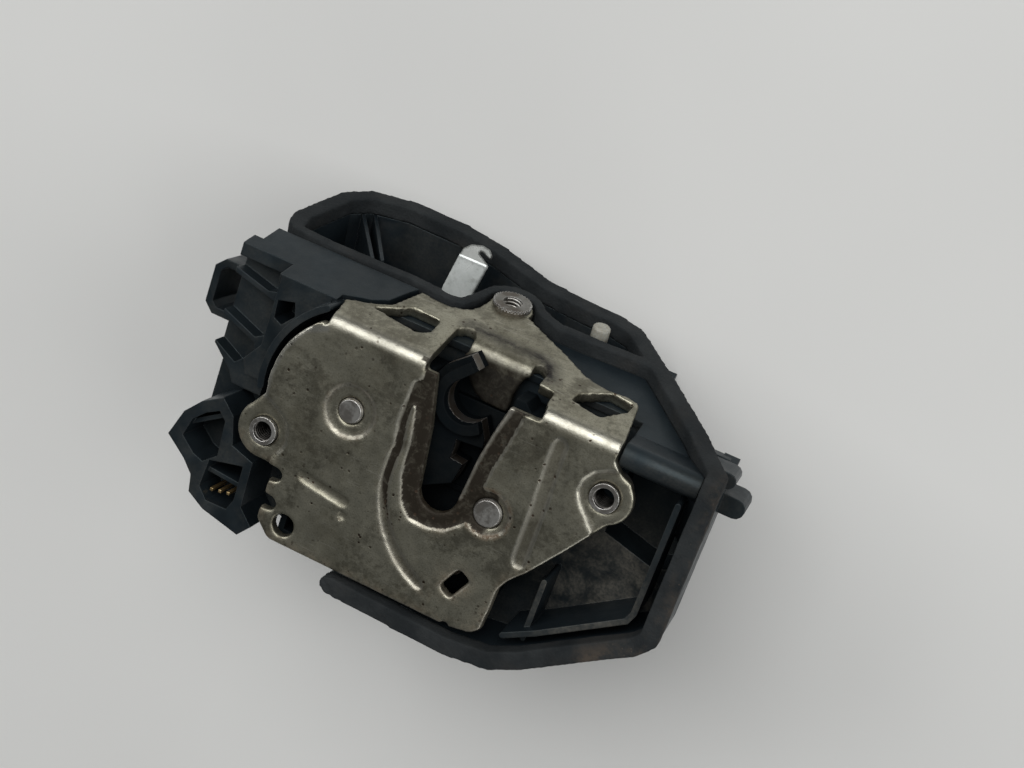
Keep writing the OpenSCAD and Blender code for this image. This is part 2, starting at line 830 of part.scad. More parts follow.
// Right side: rounded beam along the bend, ribs, a bump and a peg outside the seal
module right_side() {
    bar_x(bend_right + 2 * gap, 105.2) {
        disc([32, -4.4], 3.2);
        translate([28.8, -12])
            square([6.4, 7.6]);
    }
    slab(deck_z - eps, -6)
        stroke([[78.5, -7], [78.5, -23]], 1.4);
    slab(-25, -15)
        stroke([[104.4, 27], [113, 27]], 5);
    slab(-17, -9)
        stroke([[104.4, 34.6], [109.4, 34.6]], 4);
}

// Seats inside the rear body: motor cradles, rails, shaft post and screw bosses
module inner_seats() {
    for (x = [motor_x + 4, motor_x + motor_l - 6])
        difference() {
            translate([x, body_low + 1, motor_z - 8])
                cube([2, 10, 16]);
            along_x(x - 1, x + 3, motor_r);
        }
    difference() {
        translate([post_x, body_low + 1, motor_z - 3])
            cube([2.4, motor_y - body_low + 2, 6]);
        along_x(post_x - 1, post_x + 4, shaft_r + pin_gap);
    }
    below_tray()
        for (x = [[30.6, 39.8], [41, 50.5], [67.4, 78]])
            translate([x[0], rail_y, rack_z0 - 0.4])
                cube([x[1] - x[0], 20, rack_z1 - rack_z0 + 0.4]);
    slab(-24.6, hold_z + eps) {
        disc(lever_at, lever_pin_r + 2);
        disc(wheel_at, wheel_pin_r + 2.4);
    }
    slab(wheel_z + wheel_w + wheel_hub + gap, hold_z + eps)
        disc(wheel_at, wheel_pin_r + 1.6);
    for (p = cover_spots)
        slab(cover_z + eps, hold_z + eps)
            disc(p, screw_r + 2);
}

// Ribs and a low boss on the tray floor
module tray_ribs() {
    on_flange()
        slab(tray_z + wall - eps, -4) {
            stroke([[-15.1, 60.4], [0.6, 37.2]], 1);
            stroke([[-13, 63.6], [2, 39.8]], 1);
        }
}

module housing() color(black) {
    difference() {
        union() {
            housing_solid();
            left_side();
            right_side();
            inner_seats();
            tray_ribs();
        }
        left_pockets();
        slab(hold_z - 1, deck_z + 1) {
            disc(catch_at, catch_rivet_r + 1 + gap);
            disc(pawl_at, pawl_rivet_r + 1 + gap);
            post_window();
            disc(lever_at, lever_pin_r + seat);
        }
        slab(hold_z - 20, deck_z - 1)
            disc(wheel_at, wheel_pin_r + seat);
        slab(hold_z - 5, deck_z + 1)
            disc(lever_at, lever_pin_r + seat);
        slab(hold_z - 1, deck_z + 1)
            for (i = [0:pin_n - 1])
                translate(pin_at(i))
                    square(pin_w + 2 * seat, center = true);
        for (p = cover_spots)
            slab(cover_z - 1, cover_z + screw_l)
                disc(p, screw_r + seat);
        // Slots in the tray floor for the lever and the slider's finger
        slab(strip_z - lever_t, strip_z + lever_t)
            polygon([[10, 10], [28.6, 10], [28, 32], [10, 32]]);
        on_flange()
            slab(tray_z - 12, 1 - tray_d)
                translate([peg_at[0] - 2.4 - slider_travel - 2 * gap, finger_s[0] - 2 * gap])
                    square([4.8 + slider_travel + 4 * gap, finger_s[1] - finger_s[0] + 4 * gap]);
        seal_bed();
        slab(pocket_z + wall, deck_z + 1)
            polygon(pocket_edge);
        slab(deck_z, seal_low)
            polygon([[86, 6.6], [100.6, 3], [100.6, 27.4], [86, 27.4]]);
        on_flange()
            slab(-plate_t - 3, 1)
                disc(nut_at, bush_body_r + gap);
    }
}

// Rear cover, flat behind, with a locating lip and the far seats of the inner pins
lip_h = 2;
lever_far = -54;
wheel_far = -53;
module rear_cover() color(black) {
    difference() {
        union() {
            below_tray()
                slab(cover_z - cover_t, cover_z)
                    body_section(0);
            below_tray()
                slab(cover_z - eps, cover_z + lip_h)
                    intersection() {
                        difference() {
                            body_section(wall + gap);
                            body_section(wall + gap + 1.5);
                        }
                        translate([-big, -big])
                            square([2 * big, big + 26]);
                    }
            slab(cover_z - eps, lever_far)
                disc(lever_at, lever_pin_r + 2);
            slab(cover_z - eps, wheel_far)
                disc(wheel_at, wheel_pin_r + 2);
        }
        slab(cover_z + 2, 0) {
            disc(lever_at, lever_pin_r + seat);
            disc(wheel_at, wheel_pin_r + seat);
        }
        for (p = cover_spots)
            translate([p[0], p[1], 0]) {
                slab(cover_z - cover_t - 1, cover_z + lip_h + 1)
                    circle(screw_r + gap);
                slab(cover_z - cover_t - 1, cover_z - 1)
                    circle(screw_head_r + gap);
                slab(cover_z, cover_z + lip_h + 1)
                    circle(screw_r + 2 + gap);
            }
    }
}

screw_r = 1.5;
screw_l = 12;
module cover_screws() color(steel) {
    for (p = cover_spots)
        translate([p[0], p[1], 0])
            difference() {
                union() {
                    slab(cover_z - cover_t + 0.3, cover_z - 1)
                        circle(screw_head_r);
                    slab(cover_z - 1 - eps, cover_z - 1 + screw_l)
                        circle(screw_r);
                }
                slab(cover_z - cover_t - 1, cover_z - cover_t + 1.3)
                    circle(1.4, $fn = 6);
            }
}

// Connector moulding at the lower left: an open shell braced by lattice ribs
socket_edge = [[-26.6, -14], [-24, -6.4], [-20, -1.8], [-14.6, 1.6], [-10.6, -2], [-8.6, -9.4],
    [-2, -11.4], [-1.6, -24], [2.6, -28], [-0.4, -31.6], [-11.6, -29.2], [-16.6, -26.4],
    [-17.4, -21.8], [-20.6, -18.4]];
socket_z = -5;
module connector_socket() color(black) {
    difference() {
        union() {
            slab(deck_z, socket_z)
                difference() {
                    polygon(socket_edge);
                    polygon([[-22.6, -12.6], [-21.2, -7.4], [-18, -4.2], [-14.6, -2.2],
                        [-12.4, -4.2], [-11.8, -13.8], [-15.4, -17], [-18.4, -16]]);
                    polygon([[-13.6, -15.8], [-4.2, -13.4], [-4, -23.2], [-5.4, -26.4],
                        [-11.4, -26.6], [-14.2, -23.6]]);
                }
            slab(deck_z, deck_z + 3)
                polygon(socket_edge);
            slab(deck_z, socket_z - 2) {
                stroke([[-23, -9.6], [-13.6, -3.4]], 1.2);
                stroke([[-14, -19], [-3, -19.8]], 1.2);
            }
        }
        for (i = [0:pin_n - 1])
            slab(deck_z - 1, 0)
                translate(pin_at(i))
                    square(pin_w + 2 * seat, center = true);
    }
}

pin_n = 4;
pin_w = 0.8;
function pin_at(i) = [-12 + 2.4 * i, -24.6 + 0.5 * i];
module connector_pins() color(copper) {
    for (i = [0:pin_n - 1])
        slab(hold_z - strip_t, socket_z - 3)
            translate(pin_at(i))
                square(pin_w, center = true);
}

// Flat strips that lie on the back of the deck and feed motor and switches
strip_t = 0.6;
module contact_strip() color(copper) {
    difference() {
        slab(hold_z - strip_t, hold_z)
            for (i = [0:pin_n - 1])
                stroke([pin_at(i), [pin_at(i)[0], -20 + 2 * i], [6 + 3 * i, -20 + 2 * i]], 1.2);
        slab(hold_z - strip_t - 1, hold_z + 1)
            for (i = [0:pin_n - 1])
                translate(pin_at(i))
                    square(pin_w, center = true);
    }
}

// Release lever: upright strip in the tray, sleeve on its pin, arm to the pawl's post
strip_z = -50;
arm_z = -27.5;
sleeve_r = 4.8;
strip_top = [22.7, 48.4];
strip_low = [22.6, 20];
strip_mid = [21.2, 38.8];
arm_end = turned(post_turned(-pawl_turn) - [0, post_r + 2 + 2 * gap], lever_at, -lever_turn);
arm_path = [lever_at, turned([46, -5.5], lever_at, -lever_turn),
    turned([63, -4.5], lever_at, -lever_turn), arm_end];
module release_lever() color(zinc) {
    difference() {
        union() {
            slab(strip_z - lever_t / 2, strip_z + lever_t / 2) {
                stroke([lever_at, strip_low + [0, 2]], lever_w);
                polygon([for (p = [strip_low, strip_mid, strip_top]) p + [lever_w / 2, 0],
                    for (p = [strip_top, strip_mid, strip_low]) p - [lever_w / 2, 0]]);
            }
            // Folded end with a hook for the cable
            translate([strip_top[0], strip_top[1], strip_z])
                rotate([-28, 0, 0])
                    slab(-lever_t / 2, lever_t / 2)
                        polygon([[-lever_w / 2, -0.6], [-3.9, 1.9], [-2.4, 3.7], [0.6, 4.6],
                            [2.9, 4.3], [4, 3.2], [4, 2], [3, 2.2], [1.6, 2.9], [0.4, 2.9],
                            [0.6, 2.2], [2.6, 1.2], [lever_w / 2, 0.2], [lever_w / 2, -0.6]]);
            slab(strip_z - 1.5 * lever_t, arm_z + lever_t / 2)
                disc(lever_at, sleeve_r);
            slab(arm_z - lever_t / 2, arm_z + lever_t / 2)
                stroke(arm_path, 4);
        }
        slab(strip_z - 2 * lever_t, arm_z + lever_t)
            disc(lever_at, lever_pin_r + pin_gap);
    }
}

module lever_pin() color(steel) {
    slab(cover_z + 2, deck_z)
        disc(lever_at, lever_pin_r);
}

// Lock motor with its shaft along X under the worm wheel
motor_y = wheel_y - worm_r - wheel_teeth * tooth_m / 2;
motor_z = -42;
motor_x = -14.5;
module along_x(x0, x1, r) {
    translate([x0, motor_y, motor_z])
        rotate([0, 90, 0])
            cylinder(h = x1 - x0, r = r);
}

flat_h = 9.5;
module lock_motor() color(steel) {
    difference() {
        union() {
            intersection() {
                along_x(motor_x, motor_x + motor_l, motor_r);
                translate([motor_x - 1, motor_y - big / 2, motor_z - flat_h])
                    cube([motor_l + 2, big, 2 * flat_h]);
            }
            along_x(motor_x + motor_l - eps, motor_x + motor_l + 1.6, 3.6);
        }
        along_x(motor_x + motor_l - 12, motor_x + motor_l + 3, shaft_r + pin_gap);
    }
}

worm_x0 = wheel_x - 7;
worm_x1 = wheel_x + 7;
post_x = worm_x1 + 1.2;
module motor_shaft() color(steel) {
    along_x(motor_x + motor_l - 11.6, post_x + 3, shaft_r);
}

// Single-start worm: the thread is a slice of a disc swept by a twist
worm_pitch = PI * tooth_m;
thread_top = tooth_m * 0.9;
module worm() color(black) {
    difference() {
        union() {
            along_x(worm_x0, worm_x1, worm_r - tooth_m * 1.15);
            translate([worm_x0 + 0.5, motor_y, motor_z])
                rotate([0, 90, 0])
                    linear_extrude(worm_x1 - worm_x0 - 1,
                        twist = -360 * (worm_x1 - worm_x0 - 1) / worm_pitch, slices = 44)
                        rotate(worm_phase)
                            polygon(concat([[0, 0]], arc([0, 0], worm_r + thread_top, -42, 42, 2)));
        }
        along_x(worm_x0 - 1, worm_x1 + 1, shaft_r);
    }
}
worm_phase = 270 - 360 * (wheel_x - worm_x0 - 0.5) / worm_pitch;

// Toothed disc, one tooth pointing along X
tooth_half = tooth_m * 0.52;
tooth_ext = tooth_m * 0.8;
tooth_root = tooth_m * 1.2;
module gear(n, r_pitch, w) {
    low = r_pitch - tooth_root - 0.5;
    top = r_pitch + tooth_ext;
    linear_extrude(w) {
        circle(r_pitch - tooth_root);
        for (i = [0:n - 1])
            rotate(i * 360 / n)
                polygon([[low, -tooth_m * 0.85], [r_pitch, -tooth_half], [top, -tooth_m * 0.22],
                    [top, tooth_m * 0.22], [r_pitch, tooth_half], [low, tooth_m * 0.85]]);
    }
}

wheel_pin_r = 2;
wheel_r = wheel_teeth * tooth_m / 2;
pinion_r = pinion_teeth * tooth_m / 2;
wheel_z = motor_z - wheel_w / 2;
pinion_w = 4.4;
wheel_hub = 2;
module worm_wheel() color([0.8, 0.79, 0.74]) {
    difference() {
        translate([wheel_x, wheel_y, 0]) {
            translate([0, 0, wheel_z])
                rotate(-90)
                    gear(wheel_teeth, wheel_r, wheel_w);
            translate([0, 0, wheel_z - pinion_w])
                rotate(90)
                    gear(pinion_teeth, pinion_r, pinion_w + eps);
            translate([0, 0, wheel_z + wheel_w - eps])
                cylinder(h = wheel_hub, r = 4);
        }
        slab(wheel_z - pinion_w - 1, wheel_z + wheel_w + 3)
            disc(wheel_at, wheel_pin_r + pin_gap);
    }
}

module wheel_pin() color(steel) {
    slab(cover_z + 2, hold_z + deck_t - 1)
        disc(wheel_at, wheel_pin_r);
}

// Rack bar with a finger that leans with the flange and carries the peg
rack_y = wheel_y + pinion_r;
rack_z0 = wheel_z - pinion_w + 0.2;
rack_z1 = wheel_z - 0.5;
finger_s = [39.6, 44];
peg_at = [63.4, 41.8];
rack_pitch = PI * tooth_m;
module lock_slider() color(black) {
    difference() {
        union() {
            slab(rack_z0, rack_z1) {
                translate([50, rack_y + 1.3])
                    square([21.5, rail_y - gap - rack_y - 1.3]);
                for (i = [-1:3])
                    translate([wheel_x + (i + 0.5) * rack_pitch, rack_y])
                        polygon([[-tooth_m, 1.4], [-tooth_half, 0],
                            [-tooth_m * 0.25, -tooth_m * 0.7], [tooth_m * 0.25, -tooth_m * 0.7],
                            [tooth_half, 0], [tooth_m, 1.4]]);
            }
            on_flange()
                slab(-33.4, seal_low)
                    translate([peg_at[0] - 2.4, finger_s[0]])
                        square([4.8, finger_s[1] - finger_s[0]]);
        }
        on_flange()
            slab(seal_low - 3, 1)
                disc(peg_at, peg_r - 0.8);
    }
}

module lock_peg() color([0.8, 0.78, 0.7]) {
    on_flange() {
        slab(seal_low, 2.6)
            disc(peg_at, peg_r);
        slab(seal_low - 3, seal_low + eps)
            disc(peg_at, peg_r - 0.8);
    }
}

// Small switches: one in the bay by the catch, one beside the slider
module switch(size, button) {
    cube(size);
    translate(button)
        cube([2.4, 2, 2.4]);
}

module latch_switch() color([0.16, 0.16, 0.17]) {
    translate([14, -20, case_z])
        switch([12, 7, 6], [2, 6.9, 1.8]);
}

lock_switch_x = 30.6;
module lock_switch() color([0.16, 0.16, 0.17]) {
    translate([lock_switch_x, rail_y - 5.4, rack_z0])
        switch([9.2, 5.4, rack_z1 - rack_z0], [3, -1.9, 0.6]);
}

// Wound wire spring: a helix about a pin with a straight end at each side
coil_steps = 20;
wire_sides = 8;
function coil_path(r, pitch, turns, start, leg0, leg1) = let (end = start + turns * 360) concat(
    [concat(polar(r, start) - polar(leg0, start + 90), [0])],
    [for (i = [0:turns * coil_steps])
        concat(polar(r, start + i * 360 / coil_steps), [pitch * i / coil_steps])],
    [concat(polar(r, end) + polar(leg1, end + 90), [pitch * turns])]);

module coil(at, z, r, wire, turns, start, leg0, leg1) {
    path = coil_path(r, 2.2 * wire, turns, start, leg0, leg1);
    last = len(path) - 1;
    rings = [for (i = [0:last])
        let (along = unit(path[min(i + 1, last)] - path[max(i - 1, 0)]),
            side = unit(cross(along, [0, 0, 1])), up = cross(side, along))
        for (k = [0:wire_sides - 1])
            path[i] + wire * (cos(k * 360 / wire_sides) * side
                + sin(k * 360 / wire_sides) * up)];
    sides = [for (i = [0:last - 1]) for (k = [0:wire_sides - 1])
        let (n = (k + 1) % wire_sides)
        [i * wire_sides + k, i * wire_sides + n, (i + 1) * wire_sides + n,
            (i + 1) * wire_sides + k]];
    ends = [[for (k = [0:wire_sides - 1]) wire_sides - 1 - k],
        [for (k = [0:wire_sides - 1]) last * wire_sides + k]];
    translate([at[0], at[1], z])
        polyhedron(rings, concat(sides, ends));
}

catch_wire = 0.45;
module catch_spring() color(steel) {
    coil(catch_at, web_z + catch_wire + 0.1, r = 8, wire = catch_wire, turns = 1.5,
        start = 20, leg0 = 6, leg1 = 5);
}

pawl_wire = 0.45;
module pawl_spring() color(steel) {
    coil(pawl_at, case_z + pawl_wire + 0.2, r = 5.8, wire = pawl_wire, turns = 2,
        start = 60, leg0 = 5, leg1 = 4);
}

lever_wire = 0.6;
module lever_spring() color(steel) {
    coil(lever_at, -45, r = sleeve_r + lever_wire + gap, wire = lever_wire, turns = 5,
        start = 190, leg0 = 8, leg1 = 7);
}

face_plate();
left_bush();
right_bush();
flange_bush();
catch_pin();
pawl_pin();
back_plate();
latch_case();
rotary_catch();
catch_jacket();
pawl();
pawl_jacket();
housing();
rear_cover();
cover_screws();
connector_socket();
connector_pins();
perimeter_seal();
release_lever();
lever_pin();
lock_motor();
motor_shaft();
worm();
worm_wheel();
wheel_pin();
lock_slider();
lock_peg();
latch_switch();
lock_switch();
contact_strip();
catch_spring();
pawl_spring();
lever_spring();
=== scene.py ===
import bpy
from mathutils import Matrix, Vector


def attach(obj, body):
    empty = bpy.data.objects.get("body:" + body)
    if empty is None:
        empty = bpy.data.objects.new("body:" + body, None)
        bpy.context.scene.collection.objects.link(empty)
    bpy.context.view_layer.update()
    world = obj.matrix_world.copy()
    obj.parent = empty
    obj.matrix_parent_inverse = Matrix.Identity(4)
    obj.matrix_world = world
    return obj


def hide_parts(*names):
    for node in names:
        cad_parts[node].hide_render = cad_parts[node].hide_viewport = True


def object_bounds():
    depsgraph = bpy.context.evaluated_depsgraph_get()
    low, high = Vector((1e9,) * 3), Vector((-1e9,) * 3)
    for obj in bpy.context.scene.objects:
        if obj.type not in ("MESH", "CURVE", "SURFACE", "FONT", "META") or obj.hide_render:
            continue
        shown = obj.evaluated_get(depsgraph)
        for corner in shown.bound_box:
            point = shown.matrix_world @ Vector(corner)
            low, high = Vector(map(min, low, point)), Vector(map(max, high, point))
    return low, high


bl_info = {
    "name": "Car door lock dressing",
    "version": (1, 0, 0),
    "blender": (4, 5, 0),
    "location": "3D View > Sidebar > Door lock",
    "description": "Dresses the packed door lock with worn metal, plastic and an old foam seal",
    "category": "Object",
}

import math

import bmesh
import bpy
import numpy as np
from mathutils import Matrix, Vector

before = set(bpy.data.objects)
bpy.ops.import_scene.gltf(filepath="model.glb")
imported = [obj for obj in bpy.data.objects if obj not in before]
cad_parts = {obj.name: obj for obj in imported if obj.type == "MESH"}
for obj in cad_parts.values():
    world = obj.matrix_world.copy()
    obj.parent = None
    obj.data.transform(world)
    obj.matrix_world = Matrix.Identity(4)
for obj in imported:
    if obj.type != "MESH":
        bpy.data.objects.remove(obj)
CAD_BOX = [list(corner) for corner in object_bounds()]

# The frame's own places, in millimetres: the face is z = 0, and the flange leans from the bend
MM = 0.001
BEND_Y = 35.2
LEAN = math.radians(15)
FLANGE_UP = Vector((0, math.cos(LEAN), math.sin(LEAN)))
FLANGE_OUT = Vector((0, math.sin(LEAN), -math.cos(LEAN)))
FLANGE_TURN = Matrix((Vector((1, 0, 0)), FLANGE_OUT * -1, FLANGE_UP)).transposed().to_4x4()
CATCH_PIN = (20.0, 14.5)
PAWL_PIN = (60.6, 5.4)
LEFT_BUSH = (0.0, 0.0)
RIGHT_BUSH = (85.4, 21.4)
FLANGE_BUSH = (40.2, 37.5)
PEG = (63.4, 41.8)

# Lines and places on the face plate
MOUTH = [(38.2, 35), (40.6, 19), (42.5, 4.8), (43.2, 2.2), (45.2, 0.4), (47.5, -0.2), (49.8, 0.4),
         (51.8, 2.2), (52.5, 4.8), (53.6, 16.6), (55.1, 24.8), (57.0, 35)]
MOUTH_END = (47, 0)
RIGHT_LIP = [(52.6, 6), (53.7, 16.6), (55.3, 24.8), (57.3, 31.5)]
LEFT_LIP = [(42.6, 5.5), (40.9, 19), (38.4, 31)]
ROLLED_EDGE = [(7.9, 31.5), (2.5, 29.0), (-1.2, 22.5), (-2.6, 15), (-2.4, 9)]
PLATE_RIM = [(7.9, 32), (6, 32.4), (0, 26), (-2.6, 18), (-2.3, 9.8), (-5.2, 5.4), (-7.5, 0),
             (-5, -5.6), (-1.8, -7.2), (5, -7.6), (5, -25), (10, -26.2), (61, -26.2), (66.9, -25.1),
             (69.3, -18.2), (71.1, -8.2), (81, 4.5), (86.5, 12.6), (92.2, 21), (90, 27),
             (84.5, 31.2)]
LEFT_PAD, LEFT_PAD_HALF = [(13.5, -6.3), (25.8, -8.0)], 1.3
RIGHT_PAD, RIGHT_PAD_HALF = [(71.4, 28.8), (71.9, -2.3)], 1.8
DIMPLE, DIMPLE_R = (26.4, -11.5), 1.2
RUST_SPOT = (59, -14.9)
PAWL_RING_R = 5.9
CATCH_RING_R = 6.7
GROOVE_R = 26.8
FLAT_TOP = 31
BEND_CREST_Y = 34.2
BAND_X = (33, 62)
TONGUE_X, TONGUE_FAR_Y, TONGUE_TOP_Z = (37.5, 57), 43, -12.5
TONGUE_FACE_Y = 37.5
FOLD_Y, FOLD_LOW_Z = 37.4, -16.2
# Heights of the sheet: below its pressed steps, and its rear face with a little to spare
STEP_FOOT_Z = -1.3
SHEET_REAR_Z = -3.4
LIP_LOW_Z = -2.2
# Smear on the flange, as places along the bend and distances from it
SMEAR = [(36, 21), (41, 20.6), (48, 20.2), (55, 20.2), (59, 18), (61, 13)]

# Places on the seal
TORN_END = (28, -30)
DIRTY_SIDE = [(96, -17), (108, -9), (111, -4), (111, 34)]
# How far its surface waves, roughens and sinks, and how much more where it tore off
SEAL_WAVE, SEAL_GRIT, SEAL_SINK = 0.16, 0.05, 0.12
TORN_GRIT, TORN_SINK = 0.5, 0.25
# Spot of heavy dust on the housing's right ledge, and its reach in metres
DUSTY_LEDGE, DUSTY_REACH = (91, -6, -17), 0.012
# The lever's hooked end is past this y and below this z
HOOK_Y, HOOK_Z = 48.9, -48

# Threads in the bushes, from the bottom of the bore
THREAD_START = -8.7
THREAD_R = 2.72
THREAD_PITCH = 1.0
THREAD_DEPTH = 0.42
FACE_TURNS, FLANGE_TURNS = 8.2, 9.4
# Peg with a rounded top, as radii and heights over the flange
PEG_PROFILE = [(0, -7.0), (1.55, -7.0), (1.55, -4.0), (2.35, -4.0), (2.35, 1.7), (2.28, 2.15),
               (2.0, 2.47), (1.5, 2.6), (0.9, 2.58), (0.55, 2.4), (0, 2.35)]
LEVER_VOXEL = 0.0003

# Lamps as names, places and widths in metres, and watts; they all face one place
LAMPS = (("window", (0.0, 1.5, 2.0), 2.0, 46.0), ("right", (2.1, 0.7, 1.5), 1.6, 26.0),
         ("left", (-1.8, 1.0, 1.6), 1.6, 22.0), ("front", (1.6, -1.8, 0.9), 1.6, 9.0))
LAMPS_AIM = Vector((0.045, 0.015, -0.03))
ROOM_COLOUR, ROOM_LEVEL = (0.86, 0.89, 0.90, 1), 0.12
# Camera fitted to the photograph
CAMERA_LENS = 52.73
CAMERA_AT = (130.7, 144.7, 322.6)
CAMERA_RIGHT = (0.892, 0.325, -0.315)
CAMERA_UP = (-0.398, 0.895, -0.204)
CAMERA_BACK = (0.216, 0.307, 0.927)

# Fixed colours
SHEET_LOW = (0.195, 0.184, 0.138, 1)
SHEET_PALE = (0.42, 0.405, 0.325, 1)
# Brown grease, also laid as painted shade on the tongue under the flange
GREASE_AND_SHADE = (0.020, 0.016, 0.011, 1)
# Black smear, also laid as painted shade in the fold and behind the flange
SMEAR_AND_SHADE = (0.020, 0.018, 0.016, 1)
RUST_PIT = (0.045, 0.03, 0.02, 1)
STEEL_RUST = (0.070, 0.050, 0.034, 1)
STEEL_WORN = (0.82, 0.81, 0.79, 1)
# Near-black for inside the bores
BORE_DARK = (0.010, 0.009, 0.008, 1)
PLASTIC_TINT = (0.74, 0.93, 1.0, 1)
PLASTIC_WORN = (0.30, 0.29, 0.27, 1)
ZINC_LOW, ZINC_HIGH = (0.50, 0.53, 0.51, 1), (0.68, 0.71, 0.69, 1)
ZINC_DULL = (0.20, 0.20, 0.185, 1)
# Painted shade for the lever's hooked end
ZINC_HOOK_SHADE = (0.11, 0.113, 0.106, 1)
ZINC_WORN = (0.75, 0.77, 0.76, 1)
FOAM_PALE = (0.021, 0.0235, 0.0245, 1)
CRUMB = (0.17, 0.13, 0.095, 1)
NYLON_LOW, NYLON_HIGH = (0.23, 0.225, 0.19, 1), (0.31, 0.305, 0.265, 1)
NYLON_GRUB = (0.12, 0.10, 0.075, 1)

# Steel finishes: name of the material, colour, roughness, rust, rubbed edge
STEELS = {
    "bush": ("bush_steel_turned", (0.50, 0.49, 0.46, 1), 0.34, 0.22, 0.8),
    "core": ("core_steel_stamped", (0.16, 0.152, 0.14, 1), 0.46, 0.30, 0.4),
    "collar": ("collar_steel_dulled", (0.26, 0.255, 0.235, 1), 0.44, 0.26, 0.4),
    "spring": ("spring_wire", (0.30, 0.30, 0.29, 1), 0.30, 0.05, 0.3),
    "motor": ("motor_can_steel", (0.52, 0.52, 0.50, 1), 0.36, 0.05, 0.5),
}
# Plastic finishes: name of the material, dust, painted shade (share of the colour kept; low for the
# case and jacket, which sit in the mouth's shade), roughness, rubbed edge, gloss
PLASTICS = {
    "housing": ("housing_moulded", 0.10, 1.0, 0.38, 0.06, 0.25),
    # The case and jacket carry painted shade for the dark mouth
    "case": ("case_moulded_shaded", 0.02, 0.4, 0.65, 0.01, 0.06),
    "jacket": ("jacket_moulded_shaded", 0.02, 0.35, 0.75, 0.01, 0.04),
}
# Plain finishes: name of the material, colour, roughness, metallic
PLAINS = {
    "gear": ("gear_acetal", (0.62, 0.61, 0.56, 1), 0.4, 0.0),
    "switch": ("switch_plastic", (0.02, 0.02, 0.022, 1), 0.45, 0.0),
    "contact": ("contact_brass_strip", (0.62, 0.43, 0.20, 1), 0.32, 0.9),
    "worm": ("worm_acetal", (0.03, 0.03, 0.032, 1), 0.38, 0.0),
}


def on_flange(x, s, n):
    """Point in metres: along the bend, away from it down the flange, and over the flange."""
    return (Vector((x, BEND_Y, 0)) + s * FLANGE_OUT + n * FLANGE_UP) * MM


def metres(x, y, z):
    return Vector((x, y, z)) * MM


def shaded(colour, share):
    """A colour made darker or lighter by a share."""
    return tuple(c * share for c in colour[:3]) + (1,)


# Sizes and colours that a user may change


def colour_prop(label, about, value):
    return bpy.props.FloatVectorProperty(name=label, description=about, subtype="COLOR", size=4,
                                         min=0, max=1, default=(*value, 1))


def length_prop(label, about, value):
    return bpy.props.FloatProperty(name=label, description=about, default=value, min=1e-5,
                                   precision=5, unit="LENGTH")


class SheetSettings(bpy.types.PropertyGroup):
    metal: colour_prop("Metal", "Colour of the plated sheet", (0.30, 0.285, 0.220))
    # Colour of metal rubbed bright, also laid as painted highlights on the sheet's bend, fold,
    # rolled edge and pressings
    bright: colour_prop("Bright metal", "Colour where the plating is rubbed bright",
                        (0.58, 0.565, 0.50))
    dark: colour_prop("Stain", "Colour of dark stains on the sheet", (0.085, 0.078, 0.056))
    rust: colour_prop("Rust", "Colour of the rust round the mouth", (0.075, 0.048, 0.027))
    voxel: length_prop("Edge detail", "Cell size for the sheet's rounded edges", 0.00045)


class PlasticSettings(bpy.types.PropertyGroup):
    base: colour_prop("Plastic", "Colour of the moulded plastic", (0.0066, 0.0092, 0.0112))
    dust: colour_prop("Dust", "Colour of the dust that lies on it", (0.20, 0.18, 0.145))
    grain: length_prop("Grain", "Size of the moulded grain", 0.0004)


class SealSettings(bpy.types.PropertyGroup):
    foam: colour_prop("Foam", "Colour of the clean foam", (0.0110, 0.0132, 0.0145))
    dirt: colour_prop("Dirt", "Colour of the dried dirt in the foam", (0.060, 0.048, 0.037))
    voxel: length_prop("Edge detail", "Cell size for the seal's rounded edges", 0.0005)


class StageSettings(bpy.types.PropertyGroup):
    floor: colour_prop("Floor", "Colour of the table top", (0.60, 0.60, 0.585))
    size: length_prop("Floor size", "Width of the table top", 3.0)


# Node wiring


class Wiring:
    """Adds nodes to a tree and joins them: a value may be a constant or another node's output."""

    def __init__(self, tree):
        self.tree = tree

    def add(self, kind, feeds=None, **settings):
        """New node; a kind is a shader node's, unless it says that it is a geometry node."""
        whole = kind if kind.startswith("GeometryNode") else "ShaderNode" + kind
        made = self.tree.nodes.new(whole)
        for name, value in settings.items():
            setattr(made, name, value)
        for name, value in (feeds or {}).items():
            self.feed(made.inputs[name], value)
        return made

    def feed(self, socket, value):
        if isinstance(value, bpy.types.NodeSocket):
            self.tree.links.new(value, socket)
        else:
            socket.default_value = value

    def maths(self, operation, a, b=0.0, clamp=False):
        return self.add("Math", {0: a, 1: b}, operation=operation, use_clamp=clamp).outputs[0]

    def vector(self, operation, a, b, output=0):
        return self.add("VectorMath", {0: a, 1: b}, operation=operation).outputs[output]

    def blend(self, share, a, b):
        return self.add("Mix", {0: share, 6: a, 7: b}, data_type="RGBA").outputs[2]

    def laid(self, base, mask, share, colour):
        """Base colour with another laid over it where a mask is set, up to a share."""
        return self.blend(self.maths("MULTIPLY", mask, share), base, colour)

    def between(self, value, low, high, to_low=0.0, to_high=1.0):
        return self.add("MapRange", {0: value, 1: low, 2: high, 3: to_low, 4: to_high},
                        interpolation_type="SMOOTHSTEP").outputs[0]

    def place(self):
        """Object coordinates, which are the frame's in metres."""
        return self.add("TexCoord").outputs["Object"]

    def noise(self, scale, detail=4.0, rough=0.6, warp=0.0, where=None):
        """Noise from 0 to 1, in object coordinates unless other places are given."""
        where = self.place() if where is None else where
        return self.add("TexNoise", {"Vector": where, "Scale": scale, "Detail": detail,
                                     "Roughness": rough, "Distortion": warp}).outputs[0]

    def uneven(self, mask, noise, low, high, least, most):
        """Mask times a noise that is mapped to a range, kept from 0 to 1."""
        return self.maths("MULTIPLY", mask, self.between(noise, low, high, least, most), clamp=True)


GROUPS = {}
FLOAT, VECTOR, MATERIAL = "NodeSocketFloat", "NodeSocketVector", "NodeSocketMaterial"


